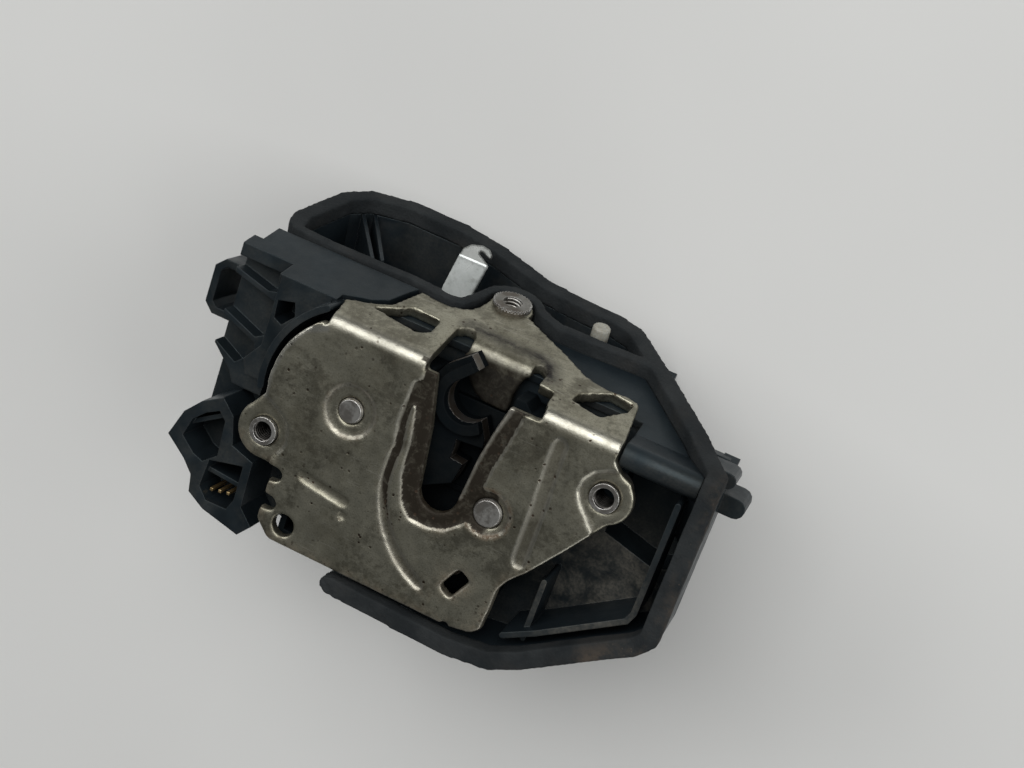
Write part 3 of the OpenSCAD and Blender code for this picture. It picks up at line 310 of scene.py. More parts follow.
def start_group(name, inputs, outputs, kind="ShaderNodeTree"):
    """Empty node group with named inputs and outputs: (tree, wiring, its inputs, its outputs)."""
    tree = bpy.data.node_groups.new(name, kind)
    for label, socket_type, value in inputs:
        socket = tree.interface.new_socket(name=label, in_out="INPUT", socket_type=socket_type)
        if value is not None:
            socket.default_value = value
    for label, socket_type in outputs:
        tree.interface.new_socket(name=label, in_out="OUTPUT", socket_type=socket_type)
    source = tree.nodes.new("NodeGroupInput")
    sink = tree.nodes.new("NodeGroupOutput")
    return tree, Wiring(tree), source.outputs, sink.inputs


def edge_group():
    """Rounded normal at sharp edges, and a mask of the worn edge itself."""
    tree, w, given, out = start_group(
        "worn_edges", [("Width", FLOAT, 0.0004), ("Breakup", FLOAT, 300.0), ("Reach", FLOAT, 0.25)],
        [("Mask", FLOAT), ("Normal", VECTOR)])
    soft = w.add("Bevel", {"Radius": given["Width"]}, samples=6).outputs[0]
    flat = w.add("NewGeometry").outputs["Normal"]
    turned = w.maths("SUBTRACT", 1.0, w.vector("DOT_PRODUCT", soft, flat, "Value"))
    patchy = w.noise(given["Breakup"], 5.0, 0.7)
    level = w.maths("MULTIPLY", turned, w.between(patchy, 0.3, 0.62, 0.2, 1.4))
    w.feed(out["Mask"], w.maths("DIVIDE", level, given["Reach"], clamp=True))
    w.feed(out["Normal"], soft)
    return tree


def blotch_group():
    """Irregular patches at two scales; a larger amount covers more."""
    tree, w, given, out = start_group(
        "blotches", [("Scale", FLOAT, 60.0), ("Fine", FLOAT, 400.0), ("Amount", FLOAT, 0.5),
                     ("Soft", FLOAT, 0.12), ("Shift", VECTOR, (0, 0, 0))], [("Mask", FLOAT)])
    moved = w.vector("ADD", w.place(), given["Shift"])
    broad = w.noise(given["Scale"], 3.0, 0.55, 0.6, moved)
    fine = w.noise(given["Fine"], 5.0, 0.7, 0.0, moved)
    both = w.maths("ADD", w.maths("MULTIPLY", broad, 0.62), w.maths("MULTIPLY", fine, 0.38))
    cut = w.maths("SUBTRACT", 0.72, w.maths("MULTIPLY", given["Amount"], 0.44))
    low = w.maths("SUBTRACT", cut, given["Soft"])
    high = w.maths("ADD", cut, given["Soft"])
    w.feed(out["Mask"], w.between(both, low, high))
    return tree


def speck_group():
    """Small round specks of ragged outline, thinned out at random."""
    tree, w, given, out = start_group(
        "specks", [("Scale", FLOAT, 700.0), ("Size", FLOAT, 0.25), ("Share", FLOAT, 0.3)],
        [("Mask", FLOAT)])
    cells = w.add("TexVoronoi", {"Vector": w.place(), "Scale": given["Scale"]})
    ragged = w.maths("MULTIPLY", w.noise(900.0, 2.0, 0.5), 0.25)
    radius = w.maths("ADD", cells.outputs["Distance"], ragged)
    dot = w.between(radius, given["Size"], w.maths("ADD", given["Size"], 0.15), 1.0, 0.0)
    pick = w.add("SeparateColor", {0: cells.outputs["Color"]}).outputs[0]
    kept = w.between(pick, given["Share"], w.maths("ADD", given["Share"], 0.02), 1.0, 0.0)
    w.feed(out["Mask"], w.maths("MULTIPLY", dot, kept))
    return tree


def scratch_group():
    """Fine lines along two directions, in worn patches."""
    tree, w, given, out = start_group(
        "scratches", [("Density", FLOAT, 0.5)], [("Mask", FLOAT)])
    lines = []
    for turn, stretch in ((0.35, (60, 2600, 400)), (-0.9, (90, 3200, 500))):
        drawn = w.add("Mapping", {"Vector": w.place(), "Rotation": (0, 0, turn), "Scale": stretch})
        lines.append(w.between(w.noise(1.0, 3.0, 0.6, 0.0, drawn.outputs[0]), 0.62, 0.72))
    both = w.maths("MULTIPLY", w.maths("MAXIMUM", *lines), given["Density"])
    worn = w.between(w.noise(55.0, 3.0, 0.6), 0.42, 0.62)
    w.feed(out["Mask"], w.maths("MULTIPLY", both, worn))
    return tree


def dust_group():
    """Dust on surfaces that face one way, heavier in patches."""
    tree, w, given, out = start_group(
        "settled_dust", [("Up", VECTOR, (0, 0, 1)), ("Amount", FLOAT, 0.5), ("Scale", FLOAT, 60.0)],
        [("Mask", FLOAT)])
    facing = w.add("NewGeometry").outputs["Normal"]
    lies = w.between(w.vector("DOT_PRODUCT", facing, given["Up"], "Value"), 0.35, 0.95)
    patch = w.noise(given["Scale"], 6.0, 0.65, 0.3)
    fine = w.noise(1500.0, 3.0, 0.6)
    both = w.maths("MULTIPLY", w.between(patch, 0.36, 0.68), w.between(fine, 0.25, 0.7, 0.45, 1.0))
    w.feed(out["Mask"], w.maths("MULTIPLY", w.maths("MULTIPLY", lies, both), given["Amount"],
                                clamp=True))
    return tree


BUILDERS = {"worn_edges": edge_group, "blotches": blotch_group, "specks": speck_group,
            "scratches": scratch_group, "settled_dust": dust_group}


def effect(w, name, **feeds):
    """Places a shared effect in a material and gives its outputs."""
    if name not in GROUPS:
        GROUPS[name] = BUILDERS[name]()
    made = w.tree.nodes.new("ShaderNodeGroup")
    made.node_tree = GROUPS[name]
    for label, value in feeds.items():
        w.feed(made.inputs[label], value)
    return made.outputs


def start_material(name, roughness, specular=None, **constants):
    """Material with one Principled shader: (material, wiring, shader)."""
    material = bpy.data.materials.new(name)
    material.use_nodes = True
    tree = material.node_tree
    shader = tree.nodes["Principled BSDF"]
    shader.inputs["Roughness"].default_value = roughness
    if specular is not None:
        shader.inputs["Specular IOR Level"].default_value = specular
    for label, value in constants.items():
        shader.inputs[label.replace("_", " ")].default_value = value
    return material, Wiring(tree), shader


def bumped(w, shader, height, distance, normal=None):
    """Gives the shader a bumped normal, on top of a rounded one where there is one."""
    feeds = {"Height": height, "Distance": distance}
    if normal is not None:
        feeds["Normal"] = normal
    w.feed(shader.inputs["Normal"], w.add("Bump", feeds).outputs[0])


def near(w, at, reach):
    """1 within a distance in metres of a point, fading raggedly to 0 at twice the distance."""
    away = w.vector("DISTANCE", w.place(), at, "Value")
    rough = w.maths("SUBTRACT", w.noise(260.0, 5.0, 0.7), 0.5)
    ragged = w.maths("ADD", away, w.maths("MULTIPLY", rough, reach))
    return w.between(ragged, reach, 2 * reach, 1.0, 0.0)


def painted(w, name):
    """A mask that a piece carries on its vertices."""
    return w.add("Attribute", attribute_name=name).outputs["Fac"]


def sheet_material(settings):
    """Zinc-plated sheet: mottled grey, rubbed bright on raised edges, with painted highlights along
    the bend, fold and pressings and painted shade on the tongue, rusty round the mouth.
    """
    material, w, shader = start_material("plated_sheet_worn", 0.38, 0.25, Metallic=0.97)
    grain = w.noise(190.0, 6.0, 0.72, 0.4)
    base = w.blend(w.between(grain, 0.34, 0.66), SHEET_LOW, settings.metal)
    pale = effect(w, "blotches", Scale=42.0, Fine=330.0, Amount=0.62, Soft=0.10)["Mask"]
    base = w.laid(base, pale, 0.55, SHEET_PALE)
    dark = effect(w, "blotches", Scale=75.0, Fine=650.0, Amount=0.40, Soft=0.06,
                  Shift=(0.3, 0.1, 0.7))["Mask"]
    base = w.laid(base, dark, 0.55, settings.dark)
    pits = w.noise(2400.0, 4.0, 0.7)
    base = w.blend(w.between(pits, 0.36, 0.5, 0.42, 0.0), base, settings.dark)
    base = w.laid(base, effect(w, "scratches", Density=0.7)["Mask"], 0.5, settings.bright)
    # Painted highlights along the bend, fold, rolled edge and pressings, with metal rubbed bright
    # at the lips
    bright = w.uneven(painted(w, "bright"), grain, 0.25, 0.5, 0.5, 1.0)
    base = w.blend(bright, base, settings.bright)
    brown = w.noise(420.0, 6.0, 0.75, 0.5)
    stain = w.uneven(painted(w, "rust"), brown, 0.33, 0.62, 0.15, 1.25)
    base = w.blend(stain, base, settings.rust)
    # Brown grease round the mouth, with painted shade on the tongue under the flange
    grease_and_shade = w.uneven(painted(w, "grease_and_shade"), brown, 0.3, 0.62, 0.84, 1.06)
    base = w.blend(grease_and_shade, base, GREASE_AND_SHADE)
    # Black smear on the flange, with painted shade in the fold and behind the flange
    smear_and_shade = w.uneven(painted(w, "smear_and_shade"), grain, 0.3, 0.6, 0.3, 1.15)
    base = w.blend(smear_and_shade, base, SMEAR_AND_SHADE)
    # Rust pits come in clusters, and wherever the sheet is rusty
    spots = effect(w, "specks", Scale=620.0, Size=0.27, Share=0.34)["Mask"]
    clusters = w.between(w.noise(75.0), 0.46, 0.58, 0.08, 0.95)
    clusters = w.maths("MAXIMUM", clusters, w.maths("MULTIPLY", painted(w, "rust"), 1.2))
    pitted = w.maths("MULTIPLY", spots, clusters, clamp=True)
    base = w.blend(pitted, base, RUST_PIT)
    w.feed(shader.inputs["Base Color"], base)
    dull = w.maths("MAXIMUM", w.maths("MAXIMUM", stain, smear_and_shade), w.maths("MULTIPLY", grease_and_shade, 0.9))
    w.feed(shader.inputs["Metallic"], w.between(dull, 0.1, 0.8, 0.97, 0.55))
    rough = w.maths("ADD", w.between(grain, 0.3, 0.7, 0.44, 0.31), w.maths("MULTIPLY", dull, 0.2))
    rough = w.maths("SUBTRACT", rough, w.maths("MULTIPLY", bright, 0.12))
    w.feed(shader.inputs["Roughness"], rough)
    height = w.maths("ADD", w.maths("MULTIPLY", pits, 0.5), w.maths("MULTIPLY", grain, 0.5))
    height = w.maths("SUBTRACT", height, w.maths("MULTIPLY", pitted, 0.6))
    bumped(w, shader, height, 0.00008)
    return material


def in_bores(w, centres, radius=0.0030):
    """1 inside the upright bores at some centres, below the face."""
    across = w.vector("MULTIPLY", w.place(), (1, 1, 0))
    height = w.add("SeparateXYZ", {0: w.place()}).outputs[2]
    found = 0.0
    for centre in centres:
        away = w.vector("DISTANCE", across, metres(*centre, 0), "Value")
        found = w.maths("MAXIMUM", found, w.between(away, radius, radius + 0.0002, 1.0, 0.0))
    return w.maths("MULTIPLY", found, w.between(height, -0.0016, -0.0003, 1.0, 0.0))


def steel_material(name, colour, roughness, rust, edge, bores=()):
    """Turned or stamped steel with patches of rust, darkened near-black inside its bores."""
    material, w, shader = start_material(name, roughness, Metallic=0.9)
    fine = w.noise(900.0, 5.0, 0.7)
    base = w.blend(w.between(fine, 0.3, 0.7), shaded(colour, 0.72), colour)
    patch = effect(w, "blotches", Scale=180.0, Fine=900.0, Amount=0.3 + rust, Soft=0.08)["Mask"]
    base = w.laid(base, patch, min(1.0, rust * 2.5), STEEL_RUST)
    worn = effect(w, "worn_edges", Width=0.0003, Breakup=500.0, Reach=0.2)
    base = w.laid(base, worn["Mask"], edge, STEEL_WORN)
    if bores:
        # Darkened near-black inside the bores
        base = w.laid(base, in_bores(w, bores), 0.93, BORE_DARK)
    w.feed(shader.inputs["Base Color"], base)
    w.feed(shader.inputs["Roughness"], w.between(fine, 0.3, 0.7, roughness + 0.1, roughness - 0.06))
    bumped(w, shader, fine, 0.00004, worn["Normal"])
    return material


def plastic_material(settings, name, dust, painted_shade, roughness, edge, gloss, dusty_ledge=False):
    """Moulded plastic: fine grain, paler rubbed edges, dust where it can lie."""
    material, w, shader = start_material(name, roughness, gloss, Specular_Tint=PLASTIC_TINT)
    # Painted shade: the case and jacket, seen deep in the mouth, are darkened
    colour = shaded(settings.base, painted_shade)
    base = w.blend(w.between(w.noise(60.0), 0.35, 0.65), colour, shaded(colour, 1.5))
    worn = effect(w, "worn_edges", Width=0.00045, Breakup=260.0, Reach=0.3)
    base = w.laid(base, worn["Mask"], edge, PLASTIC_WORN)
    lies = effect(w, "settled_dust", Amount=dust, Scale=70.0)["Mask"]
    if dusty_ledge:
        heavy = effect(w, "settled_dust", Amount=1.0, Scale=120.0)["Mask"]
        spot = w.maths("MULTIPLY", near(w, metres(*DUSTY_LEDGE), DUSTY_REACH), heavy)
        lies = w.maths("ADD", lies, w.maths("MULTIPLY", spot, 0.5), clamp=True)
    w.feed(shader.inputs["Base Color"], w.blend(lies, base, settings.dust))
    rough = w.between(w.noise(130.0), 0.3, 0.7, roughness - 0.08, roughness + 0.12)
    rough = w.maths("ADD", rough, w.maths("MULTIPLY", lies, 0.35), clamp=True)
    w.feed(shader.inputs["Roughness"], rough)
    bumped(w, shader, w.noise(1.0 / settings.grain, 3.0, 0.6), 0.00003, worn["Normal"])
    return material


def zinc_material():
    """Bright zinc plating with dull patches, and painted shade darkening the hooked end."""
    material, w, shader = start_material("lever_zinc_plated", 0.46, Metallic=0.35)
    cloud = w.noise(110.0, 5.0, 0.65, 0.4)
    base = w.blend(w.between(cloud, 0.35, 0.65), ZINC_LOW, ZINC_HIGH)
    dull = effect(w, "blotches", Scale=160.0, Fine=800.0, Amount=0.3, Soft=0.08)["Mask"]
    base = w.laid(base, dull, 0.6, ZINC_DULL)
    # Painted shade darkening the hooked end
    base = w.laid(base, painted(w, "hook_shaded"), 0.9, ZINC_HOOK_SHADE)
    worn = effect(w, "worn_edges", Width=0.0003, Breakup=400.0, Reach=0.25)
    base = w.laid(base, worn["Mask"], 0.5, ZINC_WORN)
    w.feed(shader.inputs["Base Color"], base)
    w.feed(shader.inputs["Roughness"], w.between(cloud, 0.3, 0.7, 0.42, 0.24))
    bumped(w, shader, w.noise(1300.0, 4.0, 0.65), 0.00003, worn["Normal"])
    return material


def seal_material(settings):
    """Closed-cell foam: open pores at the surface, brown dirt and crumbs on its outer side."""
    material, w, shader = start_material("seal_foam", 0.85, 0.16)
    tone = w.noise(85.0, 5.0, 0.65)
    base = w.blend(w.between(tone, 0.32, 0.66), settings.foam, FOAM_PALE)
    dirt = effect(w, "blotches", Scale=70.0, Fine=500.0, Amount=0.48, Soft=0.10)["Mask"]
    base = w.laid(base, dirt, w.maths("MULTIPLY", painted(w, "dirty"), 0.9), settings.dirt)
    crumbs = effect(w, "specks", Scale=900.0, Size=0.14, Share=0.35)["Mask"]
    share = w.maths("ADD", w.maths("MULTIPLY", painted(w, "dirty"), 0.5), 0.04)
    base = w.laid(base, crumbs, share, CRUMB)
    w.feed(shader.inputs["Base Color"], base)
    cells = w.add("TexVoronoi", {"Vector": w.place(), "Scale": 1900.0}, feature="SMOOTH_F1")
    pores = w.maths("MULTIPLY", cells.outputs["Distance"], 0.5)
    bumped(w, shader, w.maths("ADD", pores, w.noise(420.0, 5.0, 0.7)), 0.00022)
    return material


def peg_material():
    """Off-white nylon with grubby patches."""
    material, w, shader = start_material("peg_nylon", 0.45, Subsurface_Weight=0.15,
                                         Subsurface_Radius=(0.002, 0.0015, 0.001))
    base = w.blend(w.between(w.noise(300.0), 0.3, 0.7), NYLON_LOW, NYLON_HIGH)
    grub = effect(w, "blotches", Scale=300.0, Fine=1400.0, Amount=0.35, Soft=0.10)["Mask"]
    w.feed(shader.inputs["Base Color"], w.laid(base, grub, 0.45, NYLON_GRUB))
    bumped(w, shader, w.noise(1800.0, 3.0, 0.6), 0.00002)
    return material


def plain_material(name, colour, roughness, metallic):
    """Small inner parts: one finish with a light mottle and a rubbed edge."""
    material, w, shader = start_material(name, roughness, Metallic=metallic)
    tone = w.noise(400.0)
    base = w.blend(w.between(tone, 0.3, 0.7), shaded(colour, 0.8), colour)
    worn = effect(w, "worn_edges", Width=0.00025, Breakup=500.0, Reach=0.3)
    rubbed = tuple(min(1, c * 1.8 + 0.05) for c in colour[:3]) + (1,)
    w.feed(shader.inputs["Base Color"], w.laid(base, worn["Mask"], 0.35, rubbed))
    rough = w.between(tone, 0.3, 0.7, roughness + 0.08, roughness - 0.05)
    w.feed(shader.inputs["Roughness"], rough)
    bumped(w, shader, w.noise(1700.0, 3.0, 0.6), 0.00002, worn["Normal"])
    return material


MADE = {}


def new_finish(name):
    scene = bpy.context.scene
    if name in STEELS:
        bores = (LEFT_BUSH, RIGHT_BUSH) if name == "bush" else ()
        return steel_material(*STEELS[name], bores)
    if name in PLASTICS:
        return plastic_material(scene.lock_plastic, *PLASTICS[name], dusty_ledge=name == "housing")
    if name in PLAINS:
        return plain_material(*PLAINS[name])
    if name == "sheet":
        return sheet_material(scene.lock_sheet)
    if name == "seal":
        return seal_material(scene.lock_seal)
    return {"zinc": zinc_material, "peg": peg_material}[name]()


def finish_for(name):
    """The named finish, made once from the scene's settings."""
    if name not in MADE:
        MADE[name] = new_finish(name)
    return MADE[name]


NODE_FINISH = {
    "left_bush": "bush", "right_bush": "bush", "flange_bush": "collar", "catch_pin": "bush",
    "pawl_pin": "bush", "back_plate": "sheet", "latch_case": "case", "rotary_catch": "core",
    "catch_jacket": "jacket", "pawl": "core", "pawl_jacket": "jacket", "housing": "housing",
    "rear_cover": "housing", "cover_screws": "bush", "connector_socket": "housing",
    "connector_pins": "contact", "lever_pin": "bush", "lock_motor": "motor", "motor_shaft": "bush",
    "worm": "worm", "worm_wheel": "gear", "wheel_pin": "bush", "lock_slider": "jacket",
    "latch_switch": "switch", "lock_switch": "switch", "contact_strip": "contact",
    "catch_spring": "spring", "pawl_spring": "spring", "lever_spring": "spring",
}


def finish_nodes(*names):
    """Gives CAD nodes their finish, leaving their shape as it is."""
    for name in names:
        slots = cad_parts[name].data.materials
        slots.clear()
        slots.append(finish_for(NODE_FINISH[name]))


# Meshes


def linked(name, data):
    """New object in the scene."""
    made = bpy.data.objects.new(name, data)
    bpy.context.scene.collection.objects.link(made)
    return made


def new_piece(name, mesh, finish, body, replaced=()):
    """Links a finished mesh as a piece that rides on a body."""
    piece = linked(name, mesh)
    mesh.materials.clear()
    mesh.materials.append(finish_for(finish))
    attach(piece, body)
    if replaced:
        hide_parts(*replaced)


def baked(holder, name):
    """Plain mesh of an object with its modifiers applied; the object is removed."""
    graph = bpy.context.evaluated_depsgraph_get()
    mesh = bpy.data.meshes.new_from_object(holder.evaluated_get(graph), depsgraph=graph)
    mesh.name = name
    bpy.data.objects.remove(holder)
    return mesh


def softened(node, voxel, name, rounds):
    """Copy of a node's solid with its edges rounded off."""
    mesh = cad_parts[node].data.copy()
    shape = bmesh.new()
    shape.from_mesh(mesh)
    bmesh.ops.remove_doubles(shape, verts=shape.verts, dist=1e-6)
    shape.to_mesh(mesh)
    shape.free()
    holder = linked("holder", mesh)
    cells = holder.modifiers.new("cells", "REMESH")
    cells.mode = "VOXEL"
    cells.voxel_size = voxel
    smooth = holder.modifiers.new("round", "SMOOTH")
    smooth.factor = 0.5
    smooth.iterations = rounds
    made = baked(holder, name)
    made.shade_smooth()
    return made


def points_of(mesh):
    """Vertices in millimetres."""
    flat = np.zeros(len(mesh.vertices) * 3)
    mesh.vertices.foreach_get("co", flat)
    return flat.reshape(-1, 3) / MM


def move_points(mesh, at):
    """Moves the vertices to places in millimetres."""
    mesh.vertices.foreach_set("co", (at * MM).ravel())
    mesh.update()


def normals_of(mesh):
    flat = np.zeros(len(mesh.vertices) * 3, np.float32)
    mesh.vertices.foreach_get("normal", flat)
    return flat.reshape(-1, 3).astype(float)


def eased(mesh, chosen, rounds):
    """Moves the chosen vertices towards the middle of their neighbours, to soften pressed steps."""
    ends = np.zeros(len(mesh.edges) * 2, int)
    mesh.edges.foreach_get("vertices", ends)
    a, b = ends.reshape(-1, 2).T
    near_ends, far_ends = np.r_[a, b], np.r_[b, a]
    at = points_of(mesh)
    count = np.bincount(near_ends, minlength=len(at))[:, None]
    for _ in range(rounds):
        total = np.stack([np.bincount(near_ends, at[far_ends, i], len(at)) for i in range(3)], 1)
        at[chosen] += 0.5 * (total / count - at)[chosen]
    move_points(mesh, at)


def distance(points, place):
    return np.linalg.norm(points - place, axis=1)


def ring_distance(points, centre, radius):
    return np.abs(distance(points, centre) - radius)


def line_distance(points, line):
    """Distance of flat points from a line of points."""
    best = np.full(len(points), 1e9)
    for start, end in zip(line[:-1], line[1:]):
        a = np.array(start, float)
        run = np.array(end, float) - a
        share = np.clip(((points - a) @ run) / (run @ run), 0, 1)
        best = np.minimum(best, distance(points - share[:, None] * run, a))
    return best


def paint(mesh, name, values):
    """Stores a mask from 0 to 1 on a mesh's vertices."""
    layer = mesh.attributes.new(name, "FLOAT", "POINT")
    layer.data.foreach_set("value", np.clip(values, 0, 1).astype(np.float32))


def fade(gap, near_to, far):
    """1 up to a distance, falling to 0 at a farther one."""
    return np.clip((far - gap) / (far - near_to), 0, 1)


def within(values, low, high):
    return (values > low) * (values < high)


def most(*masks):
    """The highest of some masks at each vertex."""
    return np.maximum.reduce(masks)


def lathe(name, profile, steps=48):
    """Closed turned shape from (radius, height) pairs in millimetres, about Z."""
    shape = bmesh.new()
    turns = [2 * math.pi * i / steps for i in range(steps)]
    rings = []
    for radius, height in profile:
        ring = [metres(radius * math.cos(t), radius * math.sin(t), height) for t in turns]
        rings.append([shape.verts.new(place) for place in (ring if radius else ring[:1])])
    for lower, upper in zip(rings[:-1], rings[1:]):
        for i in range(steps):
            j = (i + 1) % steps
            corners = [lower[i % len(lower)], lower[j % len(lower)],
                       upper[j % len(upper)], upper[i % len(upper)]]
            unique = list(dict.fromkeys(corners))
            if len(unique) > 2:
                shape.faces.new(unique)
    bmesh.ops.recalc_face_normals(shape, faces=shape.faces)
    mesh = bpy.data.meshes.new(name)
    shape.to_mesh(mesh)
    shape.free()
    mesh.shade_smooth()
    return mesh


# Threads, wound by Geometry Nodes


def thread_tree():
    """Geometry Nodes tree: a helical ridge with a pointed section, set to a material."""
    tree, w, given, out = start_group(
        "thread_ridge", [("Radius", FLOAT, None), ("Pitch", FLOAT, None), ("Turns", FLOAT, None),
                         ("Depth", FLOAT, None), ("Finish", MATERIAL, None)],
        [("Geometry", "NodeSocketGeometry")], "GeometryNodeTree")
    rise = w.maths("MULTIPLY", given["Pitch"], given["Turns"])
    helix = w.add("GeometryNodeCurveSpiral", {
        "Resolution": 40, "Rotations": given["Turns"], "Start Radius": given["Radius"],
        "End Radius": given["Radius"], "Height": rise})
    ridge = w.add("GeometryNodeCurvePrimitiveCircle", {"Resolution": 6, "Radius": given["Depth"]})
    swept = w.add("GeometryNodeCurveToMesh", {
        "Curve": helix.outputs[0], "Profile Curve": ridge.outputs[0], "Fill Caps": True})
    real = w.add("GeometryNodeRealizeInstances", {"Geometry": swept.outputs[0]})
    done = w.add("GeometryNodeSetMaterial", {
        "Geometry": real.outputs[0], "Material": given["Finish"]})
    w.feed(out["Geometry"], done.outputs[0])
    return tree


def grown(tree, name, values):
    """Mesh that a Geometry Nodes tree makes from named inputs."""
    holder = linked("holder", bpy.data.meshes.new("empty"))
    modifier = holder.modifiers.new("make", "NODES")
    modifier.node_group = tree
    for item in tree.interface.items_tree:
        if item.item_type == "SOCKET" and item.in_out == "INPUT" and item.name in values:
            modifier[item.identifier] = values[item.name]
    return baked(holder, name)


# Wear, painted highlights and painted shade on the face plate, as masks on its vertices


class PlatePoints:
    """The face plate's vertices in millimetres, as seen from the face and from the flange."""

    def __init__(self, mesh):
        at = points_of(mesh)
        self.x, self.y, self.z = at.T
        self.flat = at[:, :2]
        self.tilt = np.abs(normals_of(mesh)[:, 2])
        # Distance from the bend along the flange, and height over the flange
        up = self.y - BEND_Y
        self.s = up * math.sin(LEAN) - self.z * math.cos(LEAN)
        self.n = up * math.cos(LEAN) + self.z * math.sin(LEAN)
        self.on_face = fade(np.abs(self.z), 1.4, 2.2)
        self.from_mouth = line_distance(self.flat, MOUTH)
        self.from_lip = line_distance(self.flat, RIGHT_LIP)
        self.tongue = within(self.x, *TONGUE_X) * (self.z < TONGUE_TOP_Z) * (self.y < TONGUE_FAR_Y)
        self.fold = fade(np.abs(self.y - FOLD_Y), 0.5, 1.3) * self.tongue * (self.z > FOLD_LOW_Z)


def rust_mask(p):
    """Rust in the band round the mouth, most at its closed end, round the pins and at the rim."""
    band = fade(p.from_mouth, 1.0, 6.5) * (p.z > SHEET_REAR_Z)
    low_end = fade(distance(p.flat, MOUTH_END), 6, 13)
    pawl_ring = fade(ring_distance(p.flat, PAWL_PIN, PAWL_RING_R), 0.3, 1.2)
    catch_ring = fade(ring_distance(p.flat, CATCH_PIN, CATCH_RING_R), 0.2, 1.0)
    groove = fade(ring_distance(p.flat, PAWL_PIN, GROOVE_R), 1.2, 2.6) * (p.x < 55)
    rim = fade(line_distance(p.flat, PLATE_RIM), 0.5, 3.5) * (p.y < -2)
    return most(band * (0.35 + 0.65 * low_end), 0.75 * pawl_ring * p.on_face,
                0.25 * groove * p.on_face, 0.35 * catch_ring * p.on_face, 0.45 * rim,
                0.5 * fade(distance(p.flat, RUST_SPOT), 3, 7))


def rubbed_and_highlight_mask(p):
    """Metal rubbed bright at the mouth's lips, with painted highlights along the rolled edge, the
    bend, the fold and the pressings' crests.
    """
    right_lip = fade(p.from_lip, 0.5, 1.2) * (p.z > LIP_LOW_Z)
    left_lip = fade(line_distance(p.flat, LEFT_LIP), 0.3, 0.9) * (p.z > -1.2)
    rolled = fade(line_distance(p.flat, ROLLED_EDGE), 0.5, 1.1)
    # Painted highlights: the pressings' sloped crests, the bend and the fold
    crest = within(p.tilt, 0.35, 0.96) * within(p.z, -0.62, -0.04) * (p.y < FLAT_TOP)
    crest = crest * ((p.x > 30) | (p.y > -4))
    bend = fade(np.abs(p.y - BEND_CREST_Y), 0.6, 1.9) * (p.z > -4)
    return most(0.9 * right_lip, 0.35 * left_lip, 0.8 * rolled, 0.35 * crest, 0.12 * p.fold,
                0.45 * bend)


def grease_and_shade_mask(p):
    """Old brown grease on the lowered band and the pads, darker down the mouth's sides and at the
    steps' feet, painted shade on the tongue, none on the right lip.
    """
    lowered = within(p.z, STEP_FOOT_Z, -0.45) * within(p.x, *BAND_X)
    lowered = lowered * fade(p.from_mouth, 9.5, 10.5)
    side = within(p.z, SHEET_REAR_Z, STEP_FOOT_Z) * fade(p.from_mouth, 1.0, 2.0)
    foot = within(p.tilt, 0.3, 0.985) * within(p.z, -0.85, -0.5) * (p.y < FLAT_TOP)
    # Painted shade: the tongue is tucked under the flange
    tongue = p.tongue * (1 - p.fold) * (p.y < TONGUE_FACE_Y)
    pads = np.minimum(line_distance(p.flat, LEFT_PAD) - LEFT_PAD_HALF,
                      line_distance(p.flat, RIGHT_PAD) - RIGHT_PAD_HALF)
    pads = np.minimum(pads, distance(p.flat, DIMPLE) - DIMPLE_R)
    grease_and_shade = most(lowered, 0.8 * side, 0.55 * foot, 0.93 * tongue,
                 0.42 * fade(pads, -0.3, 0.3) * p.on_face)
    return grease_and_shade * (1 - 0.9 * fade(p.from_lip, 0.4, 1.1) * (p.z > LIP_LOW_Z))


def smear_and_shade_mask(p):
    """Black smear on the flange above the mouth, and painted shade in the fold and behind the
    flange.
    """
    smear = line_distance(np.stack([p.x, p.s], axis=1), SMEAR)
    outside = fade(np.abs(p.n), 1.2, 2.0) * (p.s > 0.5)
    # Painted shade behind the flange and in the fold
    behind = within(p.z, -40, -4.0) * (p.n < -4)
    return most(0.9 * fade(smear, 0.4, 4.0) * outside, 0.35 * p.fold, 0.5 * behind)


# The pieces


class LOCK_OT_face_plate(bpy.types.Operator):
    """Makes the worn face plate with its rounded pressings"""
    bl_idname = "lock.face_plate"
    bl_label = "Face plate"

    def execute(self, context):
        mesh = softened("face_plate", context.scene.lock_sheet.voxel, "face_plate_worn", rounds=3)
        at = points_of(mesh)
        eased(mesh, (at[:, 2] > STEP_FOOT_Z) & (at[:, 1] < FLAT_TOP), rounds=9)
        places = PlatePoints(mesh)
        paint(mesh, "rust", rust_mask(places))
        paint(mesh, "bright", rubbed_and_highlight_mask(places))
        paint(mesh, "grease_and_shade", grease_and_shade_mask(places))
        paint(mesh, "smear_and_shade", smear_and_shade_mask(places))
        new_piece("face_plate_worn", mesh, "sheet", "frame", ["face_plate"])
        return {"FINISHED"}


class LOCK_OT_bushes(bpy.types.Operator):
    """Gives the bushes, rivets and screws their finish and cuts the threads"""
    bl_idname = "lock.bushes"
    bl_label = "Bushes and rivets"

    def execute(self, context):
        finish_nodes("left_bush", "right_bush", "flange_bush", "catch_pin", "pawl_pin",
                     "cover_screws", "lever_pin", "wheel_pin")
        tree = thread_tree()
        moved = Matrix.Translation
        for name, place, turns in (
                ("left_bush_thread", moved(metres(*LEFT_BUSH, THREAD_START)), FACE_TURNS),
                ("right_bush_thread", moved(metres(*RIGHT_BUSH, THREAD_START)), FACE_TURNS),
                ("flange_bush_thread", moved(on_flange(*FLANGE_BUSH, THREAD_START)) @ FLANGE_TURN,
                 FLANGE_TURNS)):
            mesh = grown(tree, name, {
                "Radius": THREAD_R * MM, "Pitch": THREAD_PITCH * MM, "Turns": turns,
                "Depth": THREAD_DEPTH * MM, "Finish": finish_for("bush")})
            mesh.transform(place)
            new_piece(name, mesh, "bush", "frame")
        return {"FINISHED"}


